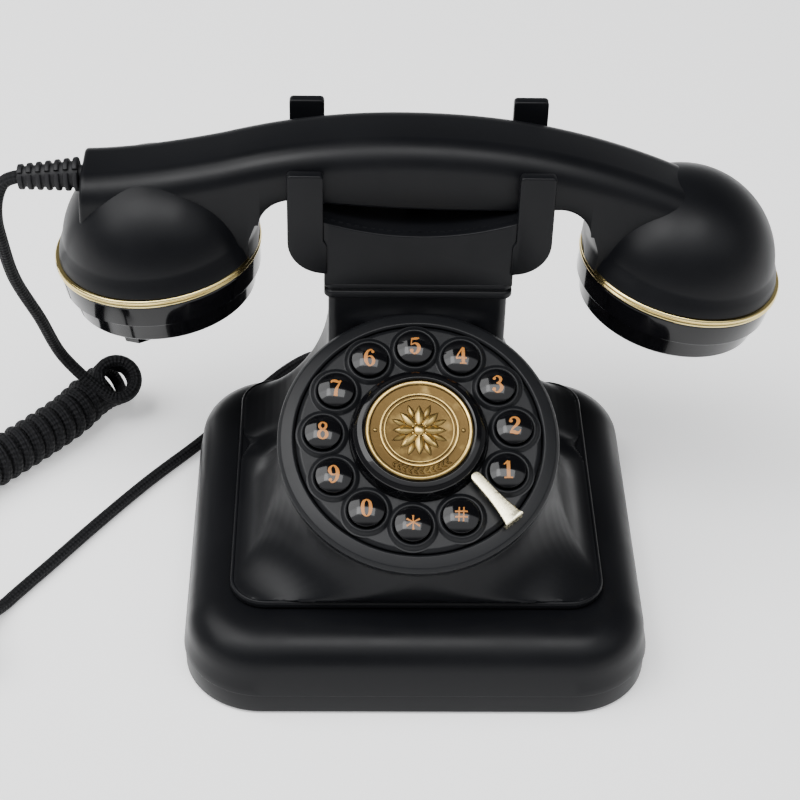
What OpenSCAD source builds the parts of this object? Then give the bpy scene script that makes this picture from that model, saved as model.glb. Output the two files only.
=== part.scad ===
// French-style cradle telephone with a ring of push-buttons in a round dial.
// Origin: centre of the base's footprint, on the table.
// +X is to the user's right, +Y goes away from the user, +Z is up. Sizes in mm.

/* [Base] */
// Width of the plinth
base_w = 151; // [149:0.5:153]
// Depth of the plinth
base_d = 144; // [143:0.5:146]
// Radius of the plinth's upright corners
base_corner_r = 25; // [22:1:28]
// Height of the plinth's top face above the table
plinth_top = 28; // [27.5:0.5:29]
// Radius of the plinth's top edge
plinth_edge_r = 12; // [8:1:13]
// Height of the line between the bottom cover and the plinth
parting_z = 8.8; // [8.6:0.2:9]
// How much the plinth's walls spread from its top edge down to that line
wall_spread = 1.3; // [1:0.1:1.4]
// Plastic wall of the plinth
wall = 2.4; // [2:0.2:3]

/* [Upper housing] */
// Width of the tier that stands on the plinth
tier_w = 122.6; // [120:0.5:124]
// Front face of the tier
tier_front = -53; // [-54:0.5:-52]
// Rear face of the tier and of the neck
tier_rear = 62; // [61:0.5:63]
// Width of the neck
neck_w = 59.6; // [58:0.4:61]
// Front face of the neck
neck_front = 24; // [23.5:0.5:25]
// Height of the neck's lip, where the cradle stands
neck_top = 103.5; // [103:0.5:104]

/* [Dial] */
// Tilt of the dial from level
dial_tilt = 26.2; // [25.5:0.1:27]
// Distance of the dial's centre in front of the origin
dial_forward = 19.3; // [19:0.1:19.6]
// Height of the dial's centre
dial_height = 74.6; // [74:0.1:75]
// Outer radius of the bezel
bezel_r = 46; // [45.5:0.1:46.5]
// Radius of the circle that the buttons stand on
button_circle_r = 31.1; // [30.9:0.1:31.3]
// Radius of one button cap
button_r = 5.85; // [5.6:0.05:6]
// Travel of a button
button_travel = 1.8; // [1.2:0.1:1.8]
// Angle between two buttons
button_step = 29; // [28.5:0.1:29.2]
// Radius of the medallion
medallion_r = 17.55; // [17:0.05:17.6]

/* [Cradle] */
// Width over the cradle's prongs
cradle_w = 86; // [85:0.5:88]
// Width of one prong
prong_w = 11.6; // [10:0.2:12]
// Thickness of a prong
prong_t = 3.5; // [3:0.1:3.6]
// Height of the front prongs' tops
front_prong_top = 146; // [144:0.5:148]
// Height of the rear prongs' tops
rear_prong_top = 150; // [148:0.5:152]

/* [Handset] */
// Distance between the axes of the two cups
ear_mouth = 176.4; // [175:0.1:178]
// Radius of the cups' domes
dome_r = 32.3; // [32:0.1:33]
// Radius of the trim rings
trim_r = 34.9; // [34.6:0.1:35]
// Height of the trim rings above the table
ring_height = 102; // [101.6:0.1:102.4]
// Lean of each cup towards the other
cup_tilt = 8; // [7:0.1:8.5]
// Roll of the handset as it rests, right end lower
handset_roll = 1.87; // [1.5:0.01:2]
// Width of the handle
handle_w = 30; // [29:0.2:30.4]

/* [Cord] */
// Diameter of the braided cord
cord_d = 4.5; // [4.2:0.1:4.8]
// Outer diameter of the curled stretch
curl_d = 17.5; // [17:0.1:18]

/* [Hidden] */
$fn = 96;
gap = 0.3;

black = [0.10, 0.105, 0.12];
gloss = [0.05, 0.05, 0.06];
gold = [0.86, 0.78, 0.52];
brass = [0.66, 0.56, 0.33];
steel = [0.62, 0.63, 0.65];
board_green = [0.10, 0.34, 0.20];
rubber = [0.14, 0.14, 0.15];

// Levels inside the base
cover_bottom = 0.5;
cover_floor = 4;
board_bottom = 8;
board_top = 9.6;
inner_rear = base_d / 2 - wall;
jack_x = 34;
jack_w = 13.6;
jack_h = 11.6;
jack_depth = 13.6;
jack_hole_w = 10.4;
jack_hole_h = 7.6;
jack_z = board_top + jack_h / 2;
post_r = 4.5;
base_screw_x = 56;
base_screw_y = 38;
foot_x = 54;
foot_y = 55;
foot_r = 7;

// Levels along the dial's own axis, from the level of the button tops
plate_top = -2.5;
plate_bottom = -4.5;
pedestal_top = -8.5;
membrane_top = -8.2;
membrane_bottom = -9.4;
board_low = -11;
plate_r = 40;
groove_r = 40.4;
dial_hole_r = 36.5;
hub_r = 22.4;
hub_floor = 1;
dial_post_r = 2.6;
dial_post_circle = 18.6;
// Angles of the buttons, from 1 round to the hash
first_button_angle = -24;
stop_angle = -50.7;
stop_len = 18.6;

// Hook
plunger_r = 3.4;
plunger_low = 90;
// The saddle is an arc between the prongs, and the block behind the panel is level beside it
saddle_low = 122.6;
saddle_high = 128.6;
saddle_half_w = 31;
saddle_sag = 5.2;
saddle_r = (saddle_half_w * saddle_half_w + saddle_sag * saddle_sag) / (2 * saddle_sag);
cradle_corner_r = 12;
cradle_corner_z = 120;
hook_switch_top = 84;
web_top = 68;
cradle_front = 21.8;
cradle_rear = 64.7;
cradle_screw_x = 21;

// Handset, in its own frame between the two cups' trim rings
handset_x = 1.2;
handset_y = 43.2;
handle_top_mid = 49.6;
handle_bottom_mid = 27;
handle_left = -112.4;
handle_left_top = 31.2;
handle_right = 86;
arch_leg_x = 54.5;
handle_edge_r = 9;
ring_bottom = -1.5;
ring_top = 1.2;
spigot_r = 32.2;
dome_foot_r = 33.9;
cup_bore_r = 29.6;
cap_floor = -16;
cap_bottom = -18.4;
boot_z = 26.6;
boot_droop = 5.8;
boot_len = 21;

// ---------- frames ----------
module dial_frame() {
    translate([0, -dial_forward, dial_height]) rotate([dial_tilt, 0, 0]) children();
}
module handset_frame() {
    translate([handset_x, handset_y, ring_height]) rotate([0, handset_roll, 0]) children();
}
// side is -1 for the mouthpiece on the left and 1 for the earpiece on the right
module cup_frame(side) {
    handset_frame() translate([side * ear_mouth / 2, 0, 0]) rotate([0, side * cup_tilt, 0]) children();
}

// ---------- shared shapes ----------
module rounded_rect(w, d, r) {
    square([w - 2 * r, d], center = true);
    square([w, d - 2 * r], center = true);
    for (sx = [-1, 1], sy = [-1, 1])
        translate([sx * (w / 2 - r), sy * (d / 2 - r)]) circle(r);
}
module rounded_block(w, d, r, z0, z1) {
    translate([0, 0, z0]) linear_extrude(z1 - z0) rounded_rect(w, d, r);
}
// Half outline of a moulding's edge: reach out from x = 0, with rounded lower and upper edges,
// and with its foot spread further out
function edge_outline(reach, z0, z1, low_r, top_r, spread) = concat(
    [[0, z0]],
    [for (a = [0:15:90]) [reach + spread - low_r + low_r * sin(a), z0 + low_r - low_r * cos(a)]],
    [for (a = [0:10:90]) [reach - top_r + top_r * cos(a), z1 - top_r + top_r * sin(a)]],
    [[0, z1]]);
module straight_edge(len, outline) {
    rotate([90, 0, 90]) translate([0, 0, -len / 2]) linear_extrude(len) polygon(outline);
}
// A slab with upright rounded corners and soft lower and upper edges
module soft_slab(w, d, r, z0, z1, low_r, top_r, spread = 0) {
    outline = edge_outline(r, z0, z1, low_r, top_r, spread);
    for (s = [0, 1]) rotate(180 * s) {
        translate([w / 2 - r, d / 2 - r]) rotate_extrude(angle = 90) polygon(outline);
        translate([-w / 2 + r, d / 2 - r]) rotate(90) rotate_extrude(angle = 90) polygon(outline);
        translate([0, d / 2 - r]) straight_edge(w - 2 * r, outline);
        translate([-w / 2 + r, 0]) rotate(90) straight_edge(d - 2 * r, outline);
    }
    translate([-w / 2 + r, -d / 2 + r, z0]) cube([w - 2 * r, d - 2 * r, z1 - z0]);
}
module at_corners(x, y) {
    for (sx = [-1, 1], sy = [-1, 1]) translate([sx * x, sy * y]) children();
}

// A closed solid through rings of n points each; rings run counter-clockwise seen from the last
function ring_faces(rings, n) = concat(
    [[for (i = [0:n - 1]) i]],
    [for (k = [0:rings - 2], i = [0:n - 1]) [k * n + i, (k + 1) * n + i, k * n + (i + 1) % n]],
    [for (k = [0:rings - 2], i = [0:n - 1])
        [k * n + (i + 1) % n, (k + 1) * n + i, (k + 1) * n + (i + 1) % n]],
    [[for (i = [n - 1:-1:0]) (rings - 1) * n + i]]);

// Points of a rounded rectangle, k on each corner
function rounded_ring(hw, hd, r, k) = [
    for (c = [0:3], j = [0:k - 1])
        let (a = 90 * c + 90 * j / (k - 1),
             sx = (c == 0 || c == 3) ? 1 : -1,
             sy = c < 2 ? 1 : -1)
        [sx * (hw - r) + r * cos(a), sy * (hd - r) + r * sin(a)]];

// ---------- base ----------
module base_post_places() {
    at_corners(base_screw_x, base_screw_y) children();
}
// Four feet near the corners and one under the middle
module foot_places() {
    at_corners(foot_x, foot_y) children();
    children();
}
module bottom_cover() color(black) {
    step = wall_spread - 0.4;
    difference() {
        union() {
            difference() {
                soft_slab(base_w + 2 * step, base_d + 2 * step, base_corner_r + step, cover_bottom,
                    parting_z, 1.2, 0.3);
                rounded_block(base_w - 2 * wall - 1, base_d - 2 * wall - 1, base_corner_r - wall,
                    cover_floor, parting_z + 1);
            }
            base_post_places() translate([0, 0, cover_floor - 0.5])
                cylinder(r = post_r, h = board_bottom - cover_floor + 0.5);
            for (x = [-38, 38], y = [22, 52])
                translate([x, y, cover_floor - 0.5])
                    cylinder(r = 3, h = board_bottom - cover_floor + 0.5);
        }
        base_post_places() translate([0, 0, -1]) cylinder(r = 1.6, h = 20);
        base_post_places() translate([0, 0, -1]) cylinder(r = 3.2, h = 4.2);
        foot_places() translate([0, 0, -1]) cylinder(r = foot_r, h = 4);
        // Sound slots under the ringer
        for (k = [-3:3])
            translate([32 - 12, -28 + 4 * k - 1, 0]) cube([24, 2, 10]);
    }
}
module base_housing() color(black) {
    difference() {
        soft_slab(base_w, base_d, base_corner_r, parting_z, plinth_top, 0.3, plinth_edge_r,
            wall_spread);
        difference() {
            soft_slab(base_w - 2 * wall, base_d - 2 * wall, base_corner_r - wall, parting_z - 1,
                plinth_top - wall, 0.3, plinth_edge_r - wall, wall_spread);
            base_post_places() translate([0, 0, board_bottom])
                cylinder(r = post_r, h = plinth_top);
        }
        base_post_places() translate([0, 0, 0]) cylinder(r = 1.6, h = 19);
        rounded_block(96, 84, 8, plinth_top - wall - 1, plinth_top + 1);
        for (x = [-jack_x, jack_x])
            translate([x - jack_w / 2, inner_rear - 2, board_top]) cube([jack_w, 6, jack_h]);
        translate([-4.8, inner_rear - 2, 11.3]) cube([9.6, 6, 4.6]);
    }
}
module feet() color(rubber) {
    foot_places() cylinder(r = foot_r, h = 3);
}
module countersunk_screw(head_r, head_h, shank_r, len) {
    difference() {
        cylinder(r = head_r, h = head_h);
        translate([-head_r, -0.35, -0.1]) cube([2 * head_r, 0.7, 0.8]);
        translate([-0.35, -head_r, -0.1]) cube([0.7, 2 * head_r, 0.8]);
    }
    translate([0, 0, head_h - 0.1]) cylinder(r = shank_r, h = len);
}
module base_screws() color(steel) {
    base_post_places() translate([0, 0, 1.4]) countersunk_screw(3, 1.8, 1.5, 15);
}
module main_board() color(board_green) {
    difference() {
        translate([-45, 14, board_bottom]) cube([90, 55, board_top - board_bottom]);
        for (x = [-38, 38], y = [22, 52]) translate([x, y, 0]) cylinder(r = 1.6, h = 20);
    }
    // Chips, capacitors and a transformer on the board
    for (k = [0:2]) translate([-26 + 18 * k, 22, board_top]) cube([9, 12, 3]);
    for (k = [0:3]) translate([-18 + 12 * k, 46, board_top]) cylinder(r = 3, h = 8);
}
module ringer() color(rubber) {
    translate([32, -28, cover_floor]) difference() {
        cylinder(r = 18, h = 11);
        translate([0, 0, 8]) cylinder(r = 15, h = 4);
    }
    translate([32, -28, cover_floor + 8]) cylinder(r = 6, h = 6);
}
module ballast() color(steel) {
    translate([-21.5, -28, 0]) rounded_block(58, 46, 4, cover_floor, cover_floor + 9);
}
// A modular jack with its mouth flush with the plinth's rear face
module jack(x) {
    mouth = base_d / 2 - 0.4;
    translate([x, 0, 0]) difference() {
        translate([-jack_w / 2, mouth - jack_depth, board_top]) cube([jack_w, jack_depth, jack_h]);
        translate([-jack_hole_w / 2, mouth - 11, jack_z - jack_hole_h / 2])
            cube([jack_hole_w, 12, jack_hole_h]);
    }
}
module line_jack() color(gloss) jack(jack_x);
module handset_jack() color(gloss) jack(-jack_x);
module switch_case() color(rubber) difference() {
    translate([-9, 61.6, board_top]) cube([18, inner_rear - gap - 61.6, 8]);
    translate([-6, 65, 11.3]) cube([12, 10, 4.6]);
}
module switch_knob() color(gloss) {
    translate([-3, 65.3, 11.6]) cube([6, 4, 4]);
    translate([-2, 66, 11.6]) cube([4, 8.2, 4]);
    for (k = [-1:1]) translate([1.3 * k - 0.3, 74, 11.6]) cube([0.6, 0.6, 4]);
}

// ---------- upper housing ----------
// The skirt under the dial sweeps from the tier's rim, level, up to the dial's rim, upright
skirt_rings = 12;
skirt_corner = 12;
function skirt_floor(inset) =
    [for (p = rounded_ring(tier_w / 2 - 2.3 - inset, 38.5 - inset, 16, skirt_corner))
        [p[0], p[1] - 12.5, 31]];
function skirt_rim(inset) =
    let (rim = pedestal_top - inset * 0.8)
    [for (p = rounded_ring(45.5 - inset, 45.5 - inset, 45.4 - inset, skirt_corner))
        [p[0],
         -dial_forward + p[1] * cos(dial_tilt) - rim * sin(dial_tilt),
         dial_height + p[1] * sin(dial_tilt) + rim * cos(dial_tilt)]];
function skirt_points(inset) =
    let (low = skirt_floor(inset), high = skirt_rim(inset), n = 4 * skirt_corner)
    concat([for (p = low) [p[0], p[1], plinth_top - (inset > 0 ? 1 : 0)]],
        [for (k = [0:skirt_rings], i = [0:n - 1])
            let (a = 90 * k / skirt_rings)
            [low[i][0] + (high[i][0] - low[i][0]) * sin(a),
             low[i][1] + (high[i][1] - low[i][1]) * sin(a),
             low[i][2] + (high[i][2] - low[i][2]) * (1 - cos(a))]]);
module skirt(inset) {
    polyhedron(points = skirt_points(inset), faces = ring_faces(skirt_rings + 2, 4 * skirt_corner),
        convexity = 6);
}
// The neck's front view: upright sides that flare out in a quarter of an ellipse
flare_top = 72;
flare_foot = 29.5;
function neck_outline(inset) =
    let (hw = neck_w / 2 - inset)
    concat(
        [[-hw - flare_foot + inset, plinth_top - (inset > 0 ? 1 : 0)], [-hw - flare_foot + inset, 31]],
        [for (a = [90:-10:0]) [-hw - flare_foot * (1 - cos(a)), flare_top - 41 * sin(a)]],
        [[-hw, 98], [hw, 98]],
        [for (a = [0:10:90]) [hw + flare_foot * (1 - cos(a)), flare_top - 41 * sin(a)]],
        [[hw + flare_foot - inset, 31], [hw + flare_foot - inset, plinth_top - (inset > 0 ? 1 : 0)]]);
module neck(inset) {
    translate([0, tier_rear - 1 - inset, 0]) rotate([90, 0, 0])
        linear_extrude(tier_rear - 1 - neck_front - 2 * inset) polygon(neck_outline(inset));
}
module neck_lip() {
    y = (neck_front + tier_rear) / 2 - 0.5;
    d = tier_rear - neck_front + 2;
    translate([0, y, 0]) {
        rounded_block(neck_w + 3, d, 3, 98, 100.2);
        rounded_block(neck_w + 1, d - 2, 3, 100.2, 101.2);
        rounded_block(neck_w + 2.4, d - 0.6, 3, 101.2, neck_top);
    }
}
module upper_housing() color(black) {
    mid_y = (tier_front + tier_rear) / 2;
    depth = tier_rear - tier_front;
    difference() {
        union() {
            translate([0, mid_y, 0]) {
                rounded_block(tier_w - 2, depth - 2, 11, plinth_top, 28.7);
                rounded_block(tier_w, depth, 12, 28.7, 30.4);
                rounded_block(tier_w - 1.2, depth - 1.2, 11.4, 30.4, 31);
            }
            skirt(0);
            intersection() {
                neck(0);
                translate([0, mid_y, 0])
                    rounded_block(tier_w - 1.2, depth - 1.2, 11.4, plinth_top, neck_top);
            }
            neck_lip();
        }
        // The bezel's seat, and room inside for the dial's boards and the wiring
        dial_frame() translate([0, 0, pedestal_top - 0.15]) cylinder(r = bezel_r + 0.1, h = 20);
        dial_frame() translate([0, 0, -12]) cylinder(r = dial_hole_r, h = 12);
        skirt(3.2);
        intersection() {
            neck(3.2);
            translate([-60, 0, 0]) cube([120, 100, web_top - 4]);
        }
        // Chamber of the hook switch, its wire hole and the cradle's screw holes
        translate([-14, 31, web_top]) cube([28, 25, 60]);
        translate([0, handset_y, 50]) cylinder(r = 4, h = 40);
        for (s = [-1, 1]) translate([s * cradle_screw_x, handset_y, 86]) cylinder(r = 1.6, h = 30);
    }
}

// ---------- dial ----------
function button_angle(k) = first_button_angle + button_step * k;
module on_button_circle(k) {
    rotate(button_angle(k)) translate([button_circle_r, 0, 0]) rotate(-button_angle(k)) children();
}
module dial_bezel() color(black) dial_frame() rotate_extrude() polygon([
    [groove_r, pedestal_top], [groove_r, -3.4], [groove_r + 0.8, -2.7], [44.6, -4.4],
    [bezel_r - 0.3, -5.2], [bezel_r, -5.9], [bezel_r, -7.2], [bezel_r - 1, pedestal_top]]);
module dial_plate() color(black) dial_frame() difference() {
    union() {
        translate([0, 0, plate_bottom]) cylinder(r = plate_r, h = plate_top - plate_bottom);
        for (k = [0:11]) on_button_circle(k) {
            translate([0, 0, plate_top]) cylinder(r = 7.4, h = 0.6);
            translate([0, 0, plate_top]) cylinder(r = 6.9, h = 1.3);
        }
        // Rim that stands on the housing
        translate([0, 0, pedestal_top]) difference() {
            cylinder(r = plate_r, h = 5);
            translate([0, 0, -1]) cylinder(r = 38.4, h = 7);
        }
        for (k = [0:3]) rotate(45 + 90 * k)
            translate([dial_post_circle, 0, membrane_top])
                cylinder(r = dial_post_r, h = plate_bottom - membrane_top + 0.5);
    }
    for (k = [0:11]) on_button_circle(k)
        translate([0, 0, -20]) cylinder(r = button_r + gap, h = 40);
    for (k = [0:3]) rotate(45 + 90 * k) translate([dial_post_circle, 0, -12]) cylinder(r = 1.1, h = 8.5);
}
module dial_hub() color(gloss) dial_frame() rotate_extrude() polygon([
    [0, plate_top], [hub_r, plate_top], [hub_r, -1.2], [22, 0.6], [21.2, 2.2], [20, 3.4],
    [18.6, 3.9], [17.9, 3.6], [medallion_r, 3], [medallion_r, hub_floor], [0, hub_floor]]);
module medallion() color(brass) dial_frame() {
    translate([0, 0, hub_floor]) cylinder(r = medallion_r - 0.05, h = 2);
    for (r = [medallion_r - 0.05, 12.9, 11.5]) translate([0, 0, 2.9]) difference() {
        cylinder(r = r, h = 1);
        translate([0, 0, -1]) cylinder(r = r - 0.9, h = 4);
    }
    for (s = [-1, 1]) translate([s * 14.25, 0, 2.9]) cylinder(r = 0.8, h = 0.6);
    // Rosette of eight petals
    for (k = [0:7]) rotate(45 * k) translate([4.6, 0, 2.9]) cylinder(r = 1.7, h = 0.7);
    translate([0, 0, 2.9]) cylinder(r = 2.6, h = 1);
}
// Seen from above, narrow at the hub and wide at the rim, with hollow sides
function stop_side(s) = [for (t = [0:0.125:1]) [stop_len * t, s * (1.8 + 0.2 * t + 1.5 * t * t * t)]];
module finger_stop() color(gold) dial_frame() translate([18.3, -15.6, 0]) rotate(stop_angle) {
    translate([0, 0, 0.6]) linear_extrude(1.3)
        polygon(concat(stop_side(-1), [for (k = [8:-1:0]) stop_side(1)[k]]));
    translate([0, 0, 0.6]) cylinder(r = 1.8, h = 1.3);
    translate([3, -1, plate_top]) cube([4, 2, 3.3]);
    translate([13.4, -1.6, plate_top]) cube([1.6, 3.2, 3.3]);
    translate([stop_len - 1, -3.4, -2.2]) cube([1, 6.8, 3.4]);
}
module keypad_membrane() color(rubber) dial_frame() difference() {
    union() {
        translate([0, 0, membrane_bottom]) cylinder(r = 35.5, h = membrane_top - membrane_bottom);
        for (k = [0:11]) on_button_circle(k) translate([0, 0, membrane_top]) cylinder(r = 3, h = gap);
    }
    for (k = [0:3]) rotate(45 + 90 * k) translate([dial_post_circle, 0, -12]) cylinder(r = 1.1, h = 8);
}
module keypad_board() color(board_green) dial_frame() difference() {
    translate([0, 0, board_low]) cylinder(r = 35.5, h = membrane_bottom - board_low);
    for (k = [0:3]) rotate(45 + 90 * k) translate([dial_post_circle, 0, -12]) cylinder(r = 1.1, h = 8);
}
module dial_screws() color(steel) dial_frame() for (k = [0:3]) rotate(45 + 90 * k)
    translate([dial_post_circle, 0, board_low - 1.4]) countersunk_screw(2.2, 1.4, 1, 5.5);
// A domed button on a flange that keeps it under the plate
module button(k) color(gloss) dial_frame() on_button_circle(k) {
    dome_h = 1.4;
    ball_r = (button_r * button_r + dome_h * dome_h) / (2 * dome_h);
    translate([0, 0, -5.8]) cylinder(r = 7, h = 1);
    translate([0, 0, -5.8]) cylinder(r = button_r, h = 5.8);
    intersection() {
        translate([0, 0, dome_h - ball_r]) sphere(ball_r);
        translate([0, 0, -0.2]) cylinder(r = button_r, h = 3);
    }
}

// ---------- cradle and hook ----------
module cradle_front_view(top) {
    hw = cradle_w / 2;
    r = cradle_corner_r;
    corner_z = cradle_corner_z;
    translate([-hw + r, neck_top]) square([2 * hw - 2 * r, saddle_high - neck_top]);
    translate([-hw, corner_z]) square([2 * hw, saddle_high - corner_z]);
    for (s = [-1, 1]) {
        intersection() {
            translate([s * (hw - r), corner_z]) circle(r);
            translate([-hw, neck_top]) square([2 * hw, corner_z + 1 - neck_top]);
        }
        translate([s * (hw - prong_w / 2) - prong_w / 2, 118]) square([prong_w, top - 118]);
    }
}
module cradle_slice(y, t, top) {
    translate([0, y + t, 0]) rotate([90, 0, 0]) linear_extrude(t) difference() {
        cradle_front_view(top);
        intersection() {
            translate([0, saddle_low + saddle_r]) circle(saddle_r, $fn = 192);
            translate([-hw_inner(), saddle_low - 1]) square([2 * hw_inner(), 60]);
        }
    }
}
function hw_inner() = cradle_w / 2 - prong_w;
module cradle() color(black) difference() {
    union() {
        cradle_slice(cradle_front, prong_t, front_prong_top);
        cradle_slice(cradle_rear - prong_t, prong_t, rear_prong_top);
        cradle_slice(cradle_front + prong_t, cradle_rear - cradle_front - 2 * prong_t, saddle_high);
    }
    // The panel between the front prongs lies back a little
    translate([-hw_inner(), cradle_front - 1, neck_top - 1]) cube([2 * hw_inner(), 1.8, 40]);
    translate([-14, 31, neck_top - 1]) cube([28, 25, 14]);
    translate([0, handset_y, 100]) cylinder(r = plunger_r + gap, h = 40);
    for (s = [-1, 1]) translate([s * cradle_screw_x, handset_y, 0]) {
        cylinder(r = 1.6, h = 140);
        translate([0, 0, 120]) cylinder(r = 3.2, h = 20);
    }
}
module cradle_screws() color(steel) for (s = [-1, 1])
    translate([s * cradle_screw_x, handset_y, 121.8]) rotate([180, 0, 0]) countersunk_screw(3, 1.8, 1.5, 32);
module hook_plunger() color(gloss) translate([0, handset_y, 0]) {
    translate([0, 0, plunger_low]) cylinder(r = plunger_r, h = 126.6 - plunger_low);
    translate([0, 0, 126.2]) intersection() {
        translate([0, 0, -6]) sphere(8.2);
        cylinder(r = plunger_r, h = 6);
    }
}
module hook_spring() color(steel) translate([0, handset_y, hook_switch_top]) difference() {
    cylinder(r = 3, h = plunger_low - hook_switch_top);
    translate([0, 0, -1]) cylinder(r = 2, h = 20);
}
module hook_switch() color(gloss) {
    translate([-11, handset_y - 7, web_top]) cube([22, 14, hook_switch_top - web_top]);
    for (x = [-8, 8]) translate([x, handset_y - 10.8, web_top + 3]) cube([1, 4, 6]);
}

// ---------- handset ----------
// The handle's top line falls in a smooth arch and runs out flat at the left end
function handle_top(x) = x < -66
    ? handle_left_top + 8.4 * pow((x - handle_left) / 46.4, 1.5)
    : handle_top_mid - 18.3 * pow(abs(x) / 88, 2.1);
// The underside is nearly flat between the cups and turns down into the two legs
arch_r = 11;
arch_x = arch_leg_x - arch_r;
function handle_bottom(x) = abs(x) >= arch_leg_x
    ? 5
    : abs(x) > arch_x
        ? handle_bottom_mid + 1.6 - arch_r + sqrt(pow(arch_r, 2) - pow(abs(x) - arch_x, 2))
        : handle_bottom_mid + 1.6 * pow(x / arch_x, 2);
// Section across the handle: square feet and rounded shoulders
function handle_section(x) =
    let (hw = handle_w / 2, top = handle_top(x), low = handle_bottom(x), r = handle_edge_r)
    concat([[x, -hw + 1.5, low], [x, hw - 1.5, low], [x, hw, low + 1.5]],
        [for (a = [0:15:90]) [x, hw - r + r * cos(a), top - r + r * sin(a)]],
        [for (a = [90:15:180]) [x, -hw + r + r * cos(a), top - r + r * sin(a)]],
        [[x, -hw, low + 1.5]]);
handle_stations = concat(
    [for (k = [0:7]) handle_left + (-arch_leg_x - 0.1 - handle_left) * k / 7],
    [for (a = [0:15:75]) -arch_x - arch_r * cos(a)],
    [for (k = [0:10]) -arch_x + 2 * arch_x * k / 10],
    [for (a = [75:-15:0]) arch_x + arch_r * cos(a)],
    [for (k = [0:5]) arch_leg_x + 0.1 + (handle_right - arch_leg_x - 0.1) * k / 5]);
module handle() {
    points = [for (x = handle_stations) each handle_section(x)];
    polyhedron(points = points, faces = ring_faces(len(handle_stations), 18), convexity = 6);
}
// A ball's upper part on a slightly wider foot
module dome(r, foot_r, z0) {
    rise = 1.4;
    rotate_extrude() polygon(concat([[0, z0], [foot_r, z0], [r + 0.35 * (foot_r - r), z0 + 4]],
        [for (a = [10:8:90]) [r * cos(a), rise + r * sin(a)]]));
}
// The handle's legs narrow to the trim rings' circle at their feet
module tapered_handle() difference() {
    handset_frame() handle();
    for (s = [-1, 1]) cup_frame(s) rotate_extrude()
        polygon([[34.8, -10], [34.8, 2], [35.5, 8], [38, 14], [60, 14], [60, -10]]);
}
module handset_shell() color(black) difference() {
    union() {
        tapered_handle();
        for (s = [-1, 1]) cup_frame(s) {
            translate([-0.6 * s, 0, 0]) dome(dome_r, dome_foot_r, ring_top);
            translate([0, 0, -7]) cylinder(r = spigot_r, h = 10);
        }
    }
    for (s = [-1, 1]) cup_frame(s) {
        translate([0, 0, -8]) cylinder(r = cup_bore_r, h = 14);
        dome(cup_bore_r - 1, cup_bore_r, 3);
        // Seat of the trim ring, cut out of the handle's legs too
        translate([0, 0, -8]) difference() {
            cylinder(r = trim_r + 1.1, h = 8 + ring_top + 0.1);
            translate([0, 0, -1]) cylinder(r = spigot_r, h = 20);
        }
    }
    // Room in the handle, its open underside, the wire ways and the screw holes
    handset_frame() {
        translate([-32, -9.5, 30]) cube([64, 19, 12]);
        translate([-43, -11, 18]) cube([86, 22, 12.4]);
        translate([-70, 0, 33]) rotate([0, 90, 0]) cylinder(r = 2.5, h = 140);
        for (s = [-1, 1]) translate([s * 38, 0, 20]) cylinder(r = 1.1, h = 20);
        boot_axis() translate([0, 0, -3]) cylinder(r = 3.1, h = 6);
    }
}
module handset_cover() color(black) handset_frame() difference() {
    translate([-42.8, -10.8, 28.2]) cube([85.6, 21.6, 2.2]);
    for (s = [-1, 1]) translate([s * 38, 0, 20]) {
        cylinder(r = 1.4, h = 20);
        cylinder(r = 2.6, h = 9.2);
    }
}
module handset_screws() color(steel) handset_frame() for (s = [-1, 1])
    translate([s * 38, 0, 28]) countersunk_screw(2.4, 1.2, 1, 8);
module handset_weight() color(steel) handset_frame()
    translate([-30, -8, 30.4]) cube([60, 16, 8]);
module trim_ring(s) color(gold) cup_frame(s) rotate_extrude() polygon([
    [spigot_r + 0.1, ring_bottom], [trim_r - 0.5, ring_bottom], [trim_r, -0.8],
    [trim_r - 0.4, -0.15], [trim_r, 0.5], [trim_r - 0.5, ring_top], [spigot_r + 0.1, ring_top]]);
module mouthpiece_ring() trim_ring(-1);
module earpiece_ring() trim_ring(1);
// Two-tier cap with a floor of sound holes
module cup_cap(s, hole_rings) color(gloss) cup_frame(s) difference() {
    rotate_extrude() polygon([
        [spigot_r + 0.1, ring_bottom], [34, ring_bottom], [34.1, -2.2], [33.6, -9.6], [32, -10.1],
        [30.8, -17], [29.2, cap_bottom], [0, cap_bottom], [0, cap_floor], [28, cap_floor],
        [29, -9.5], [spigot_r + 0.1, -7.1]]);
    translate([0, 0, -20]) cylinder(r = 1.2, h = 6);
    for (ring = [1:hole_rings], k = [0:6 * ring - 1])
        rotate(60 * k / ring) translate([4.6 * ring, 0, -20]) cylinder(r = 1.2, h = 6);
}
module mouthpiece_cap() {
    cup_cap(-1, 1);
    // Faceted lug under the front of the cap
    color(gloss) cup_frame(-1) translate([-8, -20, cap_bottom - 3.8])
        cylinder(r1 = 5, r2 = 7, h = 4, $fn = 8);
}
module earpiece_cap() cup_cap(1, 2);
module microphone() color(steel) cup_frame(-1) translate([0, 0, cap_floor]) difference() {
    cylinder(r = 14, h = 8);
    translate([0, 0, 6.5]) cylinder(r = 12, h = 4);
}
module receiver() color(steel) cup_frame(1) translate([0, 0, cap_floor]) difference() {
    cylinder(r = 20, h = 8);
    translate([0, 0, 6.5]) cylinder(r = 15, h = 4);
}
module boot_axis() {
    translate([handle_left, 0, boot_z]) rotate([0, -90 - boot_droop, 0]) children();
}
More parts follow.
